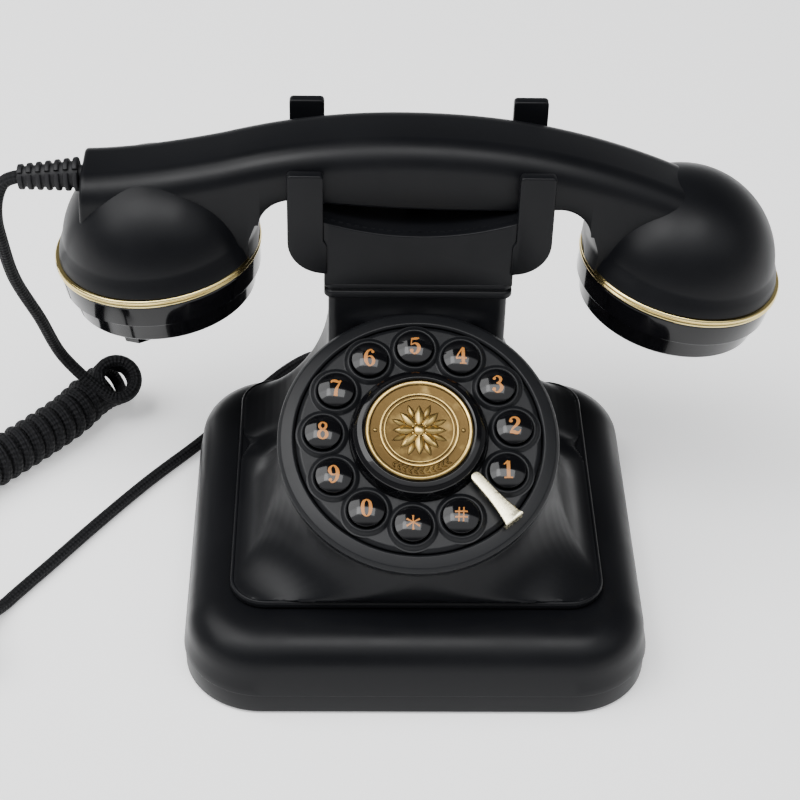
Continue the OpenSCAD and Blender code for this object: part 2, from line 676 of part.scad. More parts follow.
// Ribbed rubber sleeve, thinner towards the cord
module cord_boot() color(rubber) handset_frame() boot_axis() difference() {
    union() {
        translate([0, 0, -2.6]) cylinder(r = 3, h = 4.6);
        translate([0, 0, 1]) cylinder(r1 = 4.6, r2 = 3.3, h = boot_len - 1);
        for (k = [0:6]) translate([0, 0, 1 + 3.05 * k])
            cylinder(r1 = 5.7 - 0.24 * k, r2 = 5.6 - 0.24 * k, h = 1.7);
    }
    translate([0, 0, boot_len - 5]) cylinder(r = cord_d / 2 + 0.1, h = 8);
}

// ---------- cord ----------
// Places that the cord passes, from the boot to the curl, along the curl, and on to the plug
lead_route = [[-128.4, 43.2, 131], [-132.4, 43.2, 130.7], [-136.6, 43.7, 128.2],
    [-139.5, 44.8, 121.5], [-141, 47, 112], [-141, 50, 102], [-139.5, 58, 79], [-134, 68, 54],
    [-128.5, 77, 29], [-123, 81, 17.6]];
curl_route = [[-111, 92], [-118, 80], [-127, 67], [-137, 55], [-149, 42], [-166, 24], [-184, 3],
    [-195, -20], [-195, -42], [-182, -57], [-163, -59], [-146, -50]];
tail_route = [[-149, -44, 2.5], [-145, -37, 2.5], [-139, -25, 2.5], [-126, -6, 2.5], [-111, 16, 2.5],
    [-95, 38, 2.5], [-78, 59, 2.5], [-66, 76, 2.5], [-56, 90, 3], [-46, 99, 6], [-37, 99, 12],
    [-34, 92, 15.2], [-34, 84, 15.4]];

// A smooth curve through a route, with a number of steps in each stretch
function along(p, q, r, s, t) = 0.5 * (2 * q + (r - p) * t + (2 * p - 5 * q + 4 * r - s) * t * t
    + (3 * q - 3 * r + s - p) * t * t * t);
function smooth_route(pts, steps) =
    let (last = len(pts) - 1)
    concat([for (k = [0:last - 1], j = [0:steps - 1])
        along(pts[max(k - 1, 0)], pts[k], pts[k + 1], pts[min(k + 2, last)], j / steps)],
        [pts[last]]);
function unit(v) = v / norm(v);
function tube_points(pts, r, n) =
    [for (k = [0:len(pts) - 1])
        let (ahead = pts[min(k + 1, len(pts) - 1)],
             behind = pts[max(k - 1, 0)],
             t = unit(ahead - behind),
             u = unit(cross(t, [0.12, 0.03, 1])),
             v = cross(t, u))
        each [for (i = [0:n - 1]) pts[k] + r * cos(360 * i / n) * u + r * sin(360 * i / n) * v]];
module tube(pts, d, n) {
    polyhedron(points = tube_points(pts, d / 2, n), faces = ring_faces(len(pts), n), convexity = 10);
}
curl_path = [for (p = curl_route) [p[0], p[1], curl_d / 2 + 0.05]];
module cord_lead() color(rubber) tube(smooth_route(lead_route, 2), cord_d, 8);
module cord_curl() color(rubber) tube(smooth_route(curl_path, 2), curl_d, 12);
module cord_tail() color(rubber) tube(smooth_route(tail_route, 3), cord_d, 8);
// Modular plug, pushed home in the handset jack
module cord_plug() color([0.55, 0.57, 0.6]) translate([-jack_x, 0, 0]) {
    translate([-3.8, 61.4, jack_z - 3.2]) cube([7.6, 18.6, 6.4]);
    translate([-2.6, 79, jack_z - 2.5]) cube([5.2, 5, 5]);
    translate([-1.5, 66, jack_z + 3]) cube([3, 11, 0.6]);
}

bottom_cover();
base_housing();
upper_housing();
dial_bezel();
dial_plate();
dial_hub();
medallion();
finger_stop();
keypad_membrane();
keypad_board();
cradle();
hook_switch();
hook_plunger();
hook_spring();
main_board();
ringer();
ballast();
line_jack();
handset_jack();
switch_case();
switch_knob();
feet();
base_screws();
cradle_screws();
dial_screws();
button(0);  // button_1
button(1);  // button_2
button(2);  // button_3
button(3);  // button_4
button(4);  // button_5
button(5);  // button_6
button(6);  // button_7
button(7);  // button_8
button(8);  // button_9
button(9);  // button_0
button(10);  // button_star
button(11);  // button_hash
handset_shell();
handset_cover();
handset_weight();
handset_screws();
mouthpiece_ring();
mouthpiece_cap();
microphone();
earpiece_ring();
earpiece_cap();
receiver();
cord_boot();
cord_lead();
cord_curl();
cord_tail();
cord_plug();
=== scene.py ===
"""Looks of the french-style cradle telephone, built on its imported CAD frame.

Shapes are written in millimetres, as in part.scad, and add_piece() turns them into metres.
"""
import math

import bmesh
import bpy
import numpy as np
from mathutils import Matrix, Vector
from mathutils.bvhtree import BVHTree


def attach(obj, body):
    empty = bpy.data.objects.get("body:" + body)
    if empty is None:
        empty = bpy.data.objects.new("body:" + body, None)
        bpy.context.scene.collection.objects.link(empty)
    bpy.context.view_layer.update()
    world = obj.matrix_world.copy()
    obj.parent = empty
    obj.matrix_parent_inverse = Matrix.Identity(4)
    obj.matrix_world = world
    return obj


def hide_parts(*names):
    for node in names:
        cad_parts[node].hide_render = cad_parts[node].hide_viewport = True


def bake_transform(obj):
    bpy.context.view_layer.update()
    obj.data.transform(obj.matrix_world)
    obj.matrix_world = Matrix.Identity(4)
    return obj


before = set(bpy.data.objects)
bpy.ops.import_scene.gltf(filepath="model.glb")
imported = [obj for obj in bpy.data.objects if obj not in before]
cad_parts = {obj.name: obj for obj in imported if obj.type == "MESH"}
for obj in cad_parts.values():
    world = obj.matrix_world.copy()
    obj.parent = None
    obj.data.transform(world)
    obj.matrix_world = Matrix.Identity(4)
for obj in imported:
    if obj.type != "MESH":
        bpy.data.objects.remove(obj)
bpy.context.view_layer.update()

MM = 0.001
scene = bpy.context.scene


# ---------- camera ----------
def make_camera():
    """A long lens, level with the user's eyes, in front of the telephone and above it."""
    data = bpy.data.cameras.new("camera")
    data.sensor_width = 36
    data.lens = 93.41
    data.clip_start, data.clip_end = 0.05, 20
    camera = bpy.data.objects.new("camera", data)
    scene.collection.objects.link(camera)
    right = Vector((0.99961, -0.01690, 0.02219))
    up = Vector((-0.00633, 0.63751, 0.77042))
    forward = Vector((0.02717, 0.77026, -0.63715))
    turn = Matrix((right, up, -forward)).transposed().to_4x4()
    camera.matrix_world = Matrix.Translation((-0.02445, -0.52896, 0.51030)) @ turn
    scene.camera = camera


make_camera()


# ---------- frames of the assemblies, as in part.scad ----------
dial_tilt = math.radians(26.2)
dial_frame = Matrix.Translation((0, -19.3, 74.6)) @ Matrix.Rotation(dial_tilt, 4, "X")
handset_frame = Matrix.Translation((1.2, 43.2, 102)) @ Matrix.Rotation(math.radians(1.87), 4, "Y")
ear_mouth = 176.4
handle_left, handle_right = -112.4, 86


def cup_frame(side):
    """Frame of a cup: -1 is the mouthpiece on the left, 1 the earpiece on the right."""
    lean = Matrix.Rotation(math.radians(8 * side), 4, "Y")
    return handset_frame @ Matrix.Translation((side * ear_mouth / 2, 0, 0)) @ lean


boot_frame = (
    handset_frame
    @ Matrix.Translation((handle_left, 0, 26.6))
    @ Matrix.Rotation(math.radians(-90 - 5.8), 4, "Y")
)


# ---------- shape helpers: each gives (vertices in mm, faces) ----------
def fillet(points, radii, steps=5, closed=True):
    """An outline with rounded corners: one radius for each point, 0 where it stays sharp."""
    out = []
    for i, radius in enumerate(radii):
        p = np.array(points[i], float)
        if radius <= 0 or (not closed and i in (0, len(points) - 1)):
            out.append(p)
            continue
        a = np.array(points[i - 1], float) - p
        b = np.array(points[(i + 1) % len(points)], float) - p
        la, lb = np.linalg.norm(a), np.linalg.norm(b)
        a, b = a / la, b / lb
        half = math.acos(max(-1, min(1, float(a @ b)))) / 2
        if half > 1.54:
            out.append(p)
            continue
        cut = min(radius / math.tan(half), 0.49 * la, 0.49 * lb)
        centre = p + (a + b) / np.linalg.norm(a + b) * cut / math.cos(half)
        start, end = p + a * cut - centre, p + b * cut - centre
        sweep = math.atan2(start[0] * end[1] - start[1] * end[0], float(start @ end))
        for k in range(steps + 1):
            c, s = math.cos(sweep * k / steps), math.sin(sweep * k / steps)
            out.append(centre + (c * start[0] - s * start[1], s * start[0] + c * start[1]))
    return out


def arc(centre, radius, start, end, steps):
    """Points of an arc in a plane, from start to end in degrees."""
    angles = np.radians(np.linspace(start, end, steps + 1))
    return [(centre[0] + radius * math.cos(a), centre[1] + radius * math.sin(a)) for a in angles]


def skin(rings, closed=False):
    """A surface through rings of equal length; closed joins the last ring to the first."""
    rings = np.array(rings, float)
    count, n = rings.shape[:2]
    faces = []
    for k in range(count if closed else count - 1):
        low, high = k * n, (k + 1) % count * n
        for i in range(n):
            j = (i + 1) % n
            faces.append((low + i, low + j, high + j, high + i))
    if not closed:
        faces.append(tuple(reversed(range(n))))
        faces.append(tuple(range((count - 1) * n, count * n)))
    return rings.reshape(-1, 3), faces


def lathe(profile, sides=128, closed=True):
    """A profile of (radius, height) turned about Z; an open one ends on the axis."""
    angles = np.linspace(0, 2 * math.pi, sides, endpoint=False)
    rings = [
        [(max(r, 0.001) * math.cos(a), max(r, 0.001) * math.sin(a), z) for a in angles]
        for r, z in profile
    ]
    return skin(rings, closed=closed)


def rounded_rect(half_w, half_d, corner, steps=10):
    """Points round a rectangle with rounded corners, anticlockwise."""
    centres = [(1, 1, 0), (-1, 1, 90), (-1, -1, 180), (1, -1, 270)]
    out = []
    for sx, sy, start in centres:
        centre = (sx * (half_w - corner), sy * (half_d - corner))
        out += arc(centre, corner, start, start + 90, steps)
    return out


def slab(half_w, half_d, corner, profile, centre_y=0, closed=True):
    """A slab or frame: its profile is (how far out of the nominal edge, height)."""
    rings = []
    for out, z in profile:
        ring = rounded_rect(half_w + out, half_d + out, max(corner + out, 0.6))
        rings.append([(x, y + centre_y, z) for x, y in ring])
    return skin(rings, closed=closed)


def extrude(outline, low, high, edge):
    """A flat plate between two levels of Z whose outline's rims are rounded by edge."""
    points = np.array(outline, float)
    ahead, behind = np.roll(points, -1, 0) - points, points - np.roll(points, 1, 0)
    normals = np.stack([(ahead + behind)[:, 1], -(ahead + behind)[:, 0]], 1)
    normals /= np.maximum(np.linalg.norm(normals, axis=1)[:, None], 1e-9)
    x, y = points[:, 0], points[:, 1]
    if (x * np.roll(y, -1) - np.roll(x, -1) * y).sum() < 0:
        normals = -normals
    quarter = np.linspace(0, math.pi / 2, 4)
    rings = []
    for turns, level, way in ((quarter, low, 1), (quarter[::-1], high, -1)):
        for turn in turns:
            z = level + way * edge * (1 - math.cos(turn))
            ring = points - normals * edge * (1 - math.sin(turn))
            rings.append([(a, b, z) for a, b in ring])
    return skin(rings)


def moved(shape, place):
    """The shape moved by a matrix in mm."""
    m = np.array(place)
    return np.array(shape[0], float) @ m[:3, :3].T + m[:3, 3], shape[1]


def joined(shapes):
    """Several shapes as one."""
    verts, faces, start = [], [], 0
    for shape_verts, shape_faces in shapes:
        verts.append(np.array(shape_verts, float))
        faces += [tuple(i + start for i in f) for f in shape_faces]
        start += len(shape_verts)
    return np.concatenate(verts), faces


def smooth_curve(points, steps):
    """A Catmull-Rom curve through the points, as in part.scad."""
    pts = np.array(points, float)
    last, out = len(pts) - 1, []
    for k in range(last):
        p, q, r, s = pts[max(k - 1, 0)], pts[k], pts[k + 1], pts[min(k + 2, last)]
        for t in np.arange(steps) / steps:
            out.append(0.5 * (2 * q + (r - p) * t + (2 * p - 5 * q + 4 * r - s) * t**2
                              + (3 * q - 3 * r + s - p) * t**3))
    out.append(pts[last])
    return np.array(out)


def evenly(points, step):
    """The line again, with its points evenly spaced."""
    gaps = np.linalg.norm(np.diff(points, axis=0), axis=1)
    along = np.concatenate([[0], np.cumsum(gaps)])
    places = np.linspace(0, along[-1], max(2, int(round(along[-1] / step)) + 1))
    return np.stack([np.interp(places, along, points[:, i]) for i in range(3)], 1)


def tangents(path):
    """Unit directions along a line."""
    d = np.gradient(path, axis=0)
    return d / np.linalg.norm(d, axis=1)[:, None]


def carried(ahead, side):
    """Sideways directions, carried along a line without twist."""
    out = []
    for t in ahead:
        side = side - t * (side @ t)
        side = side / np.linalg.norm(side)
        out.append(side)
    return np.array(out)


def tube(path, radius, sides):
    """A round tube along a line."""
    ahead = tangents(path)
    across = carried(ahead, np.cross(ahead[0], (0.3, 0.2, 1.0)))
    angles = np.linspace(0, 2 * math.pi, sides, endpoint=False)
    rings = [p + radius * (np.outer(np.cos(angles), side) + np.outer(np.sin(angles), up))
             for p, side, up in zip(path, across, np.cross(ahead, across))]
    return skin(rings)


def build_object(name, shapes, place=None):
    """A mesh object in metres from shapes in mm; each shape may come with its material's index."""
    verts, faces = joined([s[:2] for s in shapes])
    if place is not None:
        verts, faces = moved((verts, faces), place)
    indices = [s[2] if len(s) > 2 else 0 for s in shapes for _ in s[1]]
    mesh = bpy.data.meshes.new(name)
    mesh.from_pydata((verts * MM).tolist(), [], faces)
    mesh.polygons.foreach_set("material_index", indices)
    work = bmesh.new()
    work.from_mesh(mesh)
    bmesh.ops.remove_doubles(work, verts=work.verts, dist=1e-8)
    bmesh.ops.recalc_face_normals(work, faces=work.faces)
    work.to_mesh(mesh)
    work.free()
    obj = bpy.data.objects.new(name, mesh)
    scene.collection.objects.link(obj)
    return obj


def finish_mesh(obj, sharp=32):
    """Smooth shading with crisp edges where faces turn by more than sharp degrees."""
    obj.data.shade_smooth()
    obj.data.set_sharp_from_angle(angle=math.radians(sharp))


def add_piece(name, shapes, materials, body, nodes=(), place=None, sharp=32):
    """A finished piece that rides on a body and stands for CAD nodes."""
    obj = build_object(name, shapes, place)
    finish_mesh(obj, sharp)
    for material in materials:
        obj.data.materials.append(material)
    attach(obj, body)
    if nodes:
        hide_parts(*nodes)
    return obj


def cut(obj, cutter_shapes, place=None):
    """Takes the cutters out of the object."""
    cutter = build_object("cutter", cutter_shapes, place)
    boolean = obj.modifiers.new("cut", "BOOLEAN")
    boolean.object = cutter
    boolean.solver = "EXACT"
    applied(obj)
    bpy.data.objects.remove(cutter)


def applied(obj):
    """Replaces the object's mesh with what its modifiers make of it."""
    graph = bpy.context.evaluated_depsgraph_get()
    mesh = bpy.data.meshes.new_from_object(obj.evaluated_get(graph))
    obj.modifiers.clear()
    obj.data = mesh


def taken(obj):
    """The object's mesh as a shape; the object goes."""
    points = np.array([v.co for v in obj.data.vertices]) / MM
    faces = [tuple(f.vertices) for f in obj.data.polygons]
    bpy.data.objects.remove(obj)
    return points, faces


def box(low, high):
    """A plain box, for cutting."""
    (x0, y0, z0), (x1, y1, z1) = low, high
    ring = [(x0, y0), (x1, y0), (x1, y1), (x0, y1)]
    return skin([[(x, y, z) for x, y in ring] for z in (z0, z1)])


def signed_distance(tree, points):
    """Distance of each point to a closed mesh, below 0 inside, with the nearest face's normal."""
    far, normals = np.empty(len(points)), np.empty((len(points), 3))
    for i, p in enumerate(points):
        p = Vector(p)
        place, normal, _, distance = tree.find_nearest(p)
        # On an edge, the faces that meet there decide together which side the point is on
        facing = sum((near[1] for near in tree.find_nearest_range(place, 0.02)), Vector())
        inside = (p - place).dot(facing) < 0
        away = (p - place) / distance if distance > 1e-6 else normal
        far[i] = -distance if inside else distance
        normals[i] = -away if inside and distance > 1e-6 else away
    return far, normals


def blended(first, second, radius, voxel):
    """One skin over two closed shapes, with the line where they meet softened by radius."""
    obj = build_object("blend", [first, second])
    remesh = obj.modifiers.new("remesh", "REMESH")
    remesh.mode = "VOXEL"
    remesh.voxel_size = voxel * MM
    applied(obj)
    trees = [BVHTree.FromPolygons([tuple(v) for v in s[0]], s[1]) for s in (first, second)]
    points, faces = taken(obj)
    for _ in range(4):
        (d1, n1), (d2, n2) = (signed_distance(tree, points) for tree in trees)
        share = np.clip(0.5 + 0.5 * (d2 - d1) / radius, 0, 1)
        distance = d2 + (d1 - d2) * share - radius * share * (1 - share)
        normal = n1 * share[:, None] + n2 * (1 - share)[:, None]
        points -= normal * np.clip(distance, -voxel, voxel)[:, None]
    return points, faces


# ---------- material helpers ----------
def new_material(name):
    """A material with its tree and its shader."""
    material = bpy.data.materials.new(name)
    material.use_nodes = True
    return material, material.node_tree, material.node_tree.nodes["Principled BSDF"]


def add_node(tree, kind, inputs=(), **settings):
    """A node with its settings; inputs are (socket, value or another node's output)."""
    made = tree.nodes.new("ShaderNode" + kind)
    for key, value in settings.items():
        setattr(made, key, value)
    for socket, value in inputs:
        if isinstance(value, bpy.types.NodeSocket):
            tree.links.new(value, made.inputs[socket])
        else:
            made.inputs[socket].default_value = value
    return made


def object_point(tree, stretch=(1, 1, 1)):
    """The surface point in metres, stretched along the axes."""
    where = add_node(tree, "TexCoord").outputs["Object"]
    return add_node(tree, "Mapping", [("Vector", where), ("Scale", stretch)]).outputs[0]


def noise(tree, where, scale, detail=3.0):
    """Noise over the surface, about 0 to 1."""
    inputs = [("Vector", where), ("Scale", scale), ("Detail", detail)]
    return add_node(tree, "TexNoise", inputs).outputs["Fac"]


def spread_to(tree, value, low, high, start=0.3, end=0.7):
    """The value's range start to end, spread to low to high."""
    inputs = [("Value", value), (1, start), (2, end), (3, low), (4, high)]
    return add_node(tree, "MapRange", inputs).outputs[0]


def two_colours(tree, share, low, high):
    """A colour between low and high."""
    mixed = add_node(tree, "Mix", [(0, share)], data_type="RGBA")
    mixed.inputs[6].default_value = (*low, 1)
    mixed.inputs[7].default_value = (*high, 1)
    return mixed.outputs[2]


def bump(tree, height, distance):
    """A bump of that height in metres."""
    return add_node(tree, "Bump", [("Height", height), ("Distance", distance)]).outputs[0]


def math_node(tree, operation, a, b=0.0):
    """One sum on two values."""
    return add_node(tree, "Math", [(0, a), (1, b)], operation=operation).outputs[0]


def plastic(name, colour, roughness, grain=0.00001, coat=0.0, gloss_change=0.06, shine=0.15):
    """Moulded plastic: fine grain, slow changes of gloss and tone, and faint rubbed patches."""
    material, tree, shader = new_material(name)
    where = object_point(tree)
    slow = noise(tree, where, 28)
    rubbed = noise(tree, object_point(tree, (1, 1, 0.25)), 160, 6)
    fine = noise(tree, where, 2600, 2)
    tone = two_colours(tree, slow, colour, [c * 1.35 for c in colour])
    tree.links.new(tone, shader.inputs["Base Color"])
    gloss = spread_to(tree, slow, roughness - gloss_change, roughness + gloss_change)
    marks = spread_to(tree, rubbed, 0, gloss_change * 0.6, 0.5, 0.75)
    tree.links.new(math_node(tree, "ADD", gloss, marks), shader.inputs["Roughness"])
    tree.links.new(bump(tree, fine, grain), shader.inputs["Normal"])
    shader.inputs["Specular IOR Level"].default_value = shine
    shader.inputs["Coat Weight"].default_value = coat
    shader.inputs["Coat Roughness"].default_value = 0.05
    return material


def metal(name, dark, bright, roughness, brushed=(1, 1, 1)):
    """Plated metal with a fine brushed grain and slightly uneven tone."""
    material, tree, shader = new_material(name)
    shader.inputs["Metallic"].default_value = 1
    slow = noise(tree, object_point(tree), 90)
    fine = noise(tree, object_point(tree, brushed), 1500)
    tree.links.new(two_colours(tree, slow, dark, bright), shader.inputs["Base Color"])
    gloss = spread_to(tree, fine, roughness * 0.75, roughness * 1.3)
    tree.links.new(gloss, shader.inputs["Roughness"])
    tree.links.new(bump(tree, fine, 0.00001), shader.inputs["Normal"])
    return material


def antique_brass(floor_level, top_level):
    """Brass with dark patina in its recesses, rubbed bright on what stands up from the dial."""
    material, tree, shader = new_material("antique_brass")
    shader.inputs["Metallic"].default_value = 1
    up = dial_frame.to_3x3() @ Vector((0, 0, 1))
    origin = (dial_frame.translation.dot(up)) * MM
    where = add_node(tree, "TexCoord").outputs["Object"]
    dot = add_node(tree, "VectorMath", [(0, where), (1, tuple(up))], operation="DOT_PRODUCT")
    height = math_node(tree, "SUBTRACT", dot.outputs["Value"], origin)
    raised = spread_to(tree, height, 0, 1, floor_level * MM, top_level * MM)
    mottle = noise(tree, where, 420, 5)
    stain = spread_to(tree, noise(tree, where, 150, 4), -0.18, 0.22)
    share = math_node(tree, "ADD", raised, math_node(tree, "SUBTRACT", stain, 0.06))
    share = math_node(tree, "MULTIPLY", share, spread_to(tree, mottle, 0.8, 1.1))
    colour = two_colours(tree, share, (0.105, 0.066, 0.024), (0.78, 0.55, 0.19))
    tree.links.new(colour, shader.inputs["Base Color"])
    tree.links.new(spread_to(tree, share, 0.5, 0.27, 0, 1), shader.inputs["Roughness"])
    tree.links.new(bump(tree, mottle, 0.00005), shader.inputs["Normal"])
    return material


def braid(name, dark, light):
    """A braided textile sleeve, from the tube's own length (mm) and turn, kept as its UV map."""
    material, tree, shader = new_material(name)
    uv = add_node(tree, "UVMap", uv_map="braid").outputs[0]
    axes = add_node(tree, "SeparateXYZ", [(0, uv)]).outputs
    lengthwise = math_node(tree, "MULTIPLY", axes[0], 2 * math.pi / 3.0)
    around = math_node(tree, "MULTIPLY", axes[1], 2 * math.pi * 5)
    one = math_node(tree, "SINE", math_node(tree, "ADD", lengthwise, around))
    other = math_node(tree, "SINE", math_node(tree, "SUBTRACT", lengthwise, around))
    crossing = math_node(tree, "MULTIPLY", one, other)
    fibres = noise(tree, object_point(tree), 5200, 2)
    height = math_node(tree, "ADD", crossing, math_node(tree, "MULTIPLY", fibres, 0.5))
    # Painted shade: the colour is darker in the dips between the strands and lighter on their
    # raised crossings, following the bump's height; the fibre noise is the yarn's own uneven tone
    share = spread_to(tree, height, 0, 1, -0.6, 1.1)
    tree.links.new(two_colours(tree, share, dark, light), shader.inputs["Base Color"])
    tree.links.new(spread_to(tree, fibres, 0.62, 0.85), shader.inputs["Roughness"])
    tree.links.new(bump(tree, height, 0.00030), shader.inputs["Normal"])
    shader.inputs["Specular IOR Level"].default_value = 0.25
    return material


def circuit_board(name):
    """Green solder mask with faint tracks under it."""
    material, tree, shader = new_material(name)
    where = object_point(tree)
    inputs = [("Vector", where), ("Scale", 420)]
    tracks = add_node(tree, "TexBrick", inputs).outputs["Fac"]
    shade = math_node(tree, "ADD", tracks, spread_to(tree, noise(tree, where, 60), 0, 0.3))
    colour = two_colours(tree, shade, (0.010, 0.085, 0.035), (0.03, 0.16, 0.07))
    tree.links.new(colour, shader.inputs["Base Color"])
    tree.links.new(spread_to(tree, noise(tree, where, 900), 0.28, 0.42), shader.inputs["Roughness"])
    tree.links.new(bump(tree, tracks, 0.00004), shader.inputs["Normal"])
    return material


def clear_plastic(name):
    """Clear moulded plastic with slightly hazy surfaces."""
    material, tree, shader = new_material(name)
    haze = noise(tree, object_point(tree), 300)
    colour = two_colours(tree, haze, (0.80, 0.83, 0.85), (0.93, 0.95, 0.96))
    tree.links.new(colour, shader.inputs["Base Color"])
    tree.links.new(spread_to(tree, haze, 0.06, 0.2), shader.inputs["Roughness"])
    shader.inputs["Transmission Weight"].default_value = 0.85
    shader.inputs["IOR"].default_value = 1.49
    return material


satin = plastic("satin_black", (0.0032, 0.0034, 0.0042), 0.36)
satin_fine = plastic("satin_dial", (0.0050, 0.0053, 0.0062), 0.40, shine=0.22)
gloss = plastic("gloss_black", (0.0022, 0.0022, 0.0027), 0.11, 0.000001, 0.35, 0.03)
rubber = plastic("black_rubber", (0.0060, 0.0060, 0.0072), 0.60, 0.00002, 0.0, 0.08, 0.3)
paint = plastic("copper_paint", (0.33, 0.125, 0.022), 0.38, 0.000004, 0.15, 0.05, 0.3)
gold = metal("pale_gold", (0.72, 0.55, 0.20), (0.92, 0.77, 0.36), 0.16)
stop_gold = metal("stop_gold", (0.88, 0.80, 0.52), (0.97, 0.91, 0.66), 0.30)
steel = metal("zinc_steel", (0.42, 0.43, 0.45), (0.62, 0.63, 0.66), 0.3, (1, 1, 0.1))
brass = antique_brass(3.0, 3.95)
# The darker colour is painted shade in the braid's dips; the lighter one is the strands' raised
# tops
cord_braid = braid("braided_cord", (0.0010, 0.0010, 0.0016), (0.0048, 0.0050, 0.0066))
board = circuit_board("board_green")
clear = clear_plastic("clear_plastic")


# ---------- the cord: routes in millimetres, the same points as in part.scad ----------
cord_d, curl_d = 4.5, 17.5
lead_route = [[-128.4, 43.2, 131], [-132.4, 43.2, 130.7], [-136.6, 43.7, 128.2],
              [-139.5, 44.8, 121.5], [-141, 47, 112], [-141, 50, 102], [-139.5, 58, 79],
              [-134, 68, 54], [-128.5, 77, 29], [-123, 81, 17.6]]
curl_route = [[-111, 92], [-118, 80], [-127, 67], [-137, 55], [-149, 42], [-166, 24], [-184, 3],
              [-195, -20], [-195, -42], [-182, -57], [-163, -59], [-146, -50]]
tail_route = [[-149, -44, 2.5], [-145, -37, 2.5], [-139, -25, 2.5], [-126, -6, 2.5],
              [-111, 16, 2.5], [-95, 38, 2.5], [-78, 59, 2.5], [-66, 76, 2.5], [-56, 90, 3],
              [-46, 99, 6], [-37, 99, 12], [-34, 92, 15.2], [-34, 84, 15.4]]
# In place of its first two points, the curl's mouth stands up from the table and faces the user
mouth_route = [[-109.5, 78.5, 17.5], [-111.2, 81.5, 13.5], [-115.5, 81.5, 10.8], [-120, 78, 9.3]]
turn_r, mouth_r = (curl_d - cord_d) / 2, 7.6
turn_pitch, turn_steps, mouth_steps = 5.0, 40, 120


def curl_line():
    """The helix of the curled stretch, from its mouth by the handset's lead to its far end."""
    flat = [(x, y, curl_d / 2 + 0.05) for x, y in curl_route[2:]]
    axis = evenly(smooth_curve(mouth_route + flat, 12), turn_pitch / turn_steps)
    ahead = tangents(axis)
    side = carried(ahead, np.array([-1.0, 0, 0]))
    down = np.cross(side, ahead)
    steps = np.arange(len(axis))
    # The turns lie closer together where the curl bends up
    angle = 2 * math.pi * (steps + 0.7 * np.minimum(steps, mouth_steps)) / turn_steps
    r = turn_r + (mouth_r - turn_r) * np.clip(1 - steps / mouth_steps, 0, 1) ** 2
    return axis + (side * np.cos(angle)[:, None] + down * np.sin(angle)[:, None]) * r[:, None]


def cord_line():
    """The whole cord: down from the boot, round the curl and along the table to the jack."""
    lead, curl, tail = smooth_curve(lead_route, 8), curl_line()[:-16], smooth_curve(tail_route, 8)
    enter = smooth_curve([lead[-25], lead[-17], lead[-9], curl[3], curl[7], curl[11]], 8)
    leave = smooth_curve([curl[-17], curl[-9], curl[-1], (-146, -38, 7.5), tail[16], tail[24]], 8)
    whole = [lead[:-17], enter[8:32], curl[7:-9], leave[8:32], tail[16:]]
    return evenly(np.concatenate(whole), 1.0)


def make_cord():
    """The cord with its braid, from the handset's lead round the curl and along the table to the
    jack.
    """
    path = cord_line()
    sides = 14
    obj = build_object("handset_cord", [tube(path, cord_d / 2, sides)])
    finish_mesh(obj, 60)
    # The braid follows the cord's length in mm and its turn
    uv = obj.data.uv_layers.new(name="braid")
    along = np.concatenate([[0], np.cumsum(np.linalg.norm(np.diff(path, axis=0), axis=1))])
    for face in obj.data.polygons:
        turns = [obj.data.loops[i].vertex_index % sides for i in face.loop_indices]
        wraps = max(turns) - min(turns) > 1
        for i in face.loop_indices:
            ring, turn = divmod(obj.data.loops[i].vertex_index, sides)
            turn += sides if wraps and turn == 0 else 0
            uv.data[i].uv = (along[ring], turn / sides)
    obj.data.materials.append(cord_braid)
    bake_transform(obj)
    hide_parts("cord_lead", "cord_curl", "cord_tail")
    length = float(np.linalg.norm(np.diff(path, axis=0), axis=1).sum()) * MM
    return obj, path, length


cord, cord_path, cord_length = make_cord()


# ---------- cord boot ----------
def boot_rib(k):
    """One rib of the boot: a collar left open at its two sides."""
    z, r = 1 + 3.05 * k, 5.7 - 0.24 * k
    section = fillet([(3.6, z), (r, z), (r - 0.1, z + 1.7), (3.6, z + 1.7)], [0, 0.5, 0.5, 0], 3)
    shapes = []
    for start in (-38, 142):
        rings = []
        for a in np.radians(np.linspace(start, start + 166, 19)):
            rings.append([(p[0] * math.cos(a), p[0] * math.sin(a), p[1]) for p in section])
        shapes.append(skin(rings))
    return shapes


boot_length = 21
boot_core = fillet([(0, -2.4), (3, -2.4), (3, 0.9), (4.5, 1.0), (3.3, boot_length),
                    (2.4, boot_length), (0, boot_length - 1)], [0, 0, 0.3, 0.3, 0.5, 0.3, 0], 4)
boot_shapes = [lathe(boot_core, 48, closed=False)]
for rib in range(7):
    boot_shapes += boot_rib(rib)
boot = add_piece("handset_cord_boot", boot_shapes, [rubber], "handset", ["cord_boot"],
                 boot_frame)


# ---------- upper housing ----------
tier_half_w, tier_front, tier_rear = 61.3, -53, 62
tier_mid, tier_half_d = (tier_front + tier_rear) / 2, (tier_rear - tier_front) / 2
flare_foot, flare_top, neck_half_w = 30.6, 72, 29.8


def skirt_shape():
    """The skirt that sweeps from the tier, level, up to the dial's rim, upright."""
    foot = rounded_rect(tier_half_w - 0.9, 39.6, 11.1, 14)
    rim = rounded_rect(45.5, 45.5, 45.4, 14)
    rings = [[(x, y - 12.5, 27) for x, y in foot]]
    for a in np.radians(np.linspace(0, 90, 31)):
        ring = []
        for (fx, fy), (rx, ry) in zip(foot, rim):
            low = Vector((fx, fy - 12.5, 31))
            high = dial_frame @ Vector((rx, ry, -8.5))
            x, y, _ = low.lerp(high, math.sin(a))
            ring.append((x, y, low.z + (high.z - low.z) * (1 - math.cos(a))))
        rings.append(ring)
    return skin(rings)


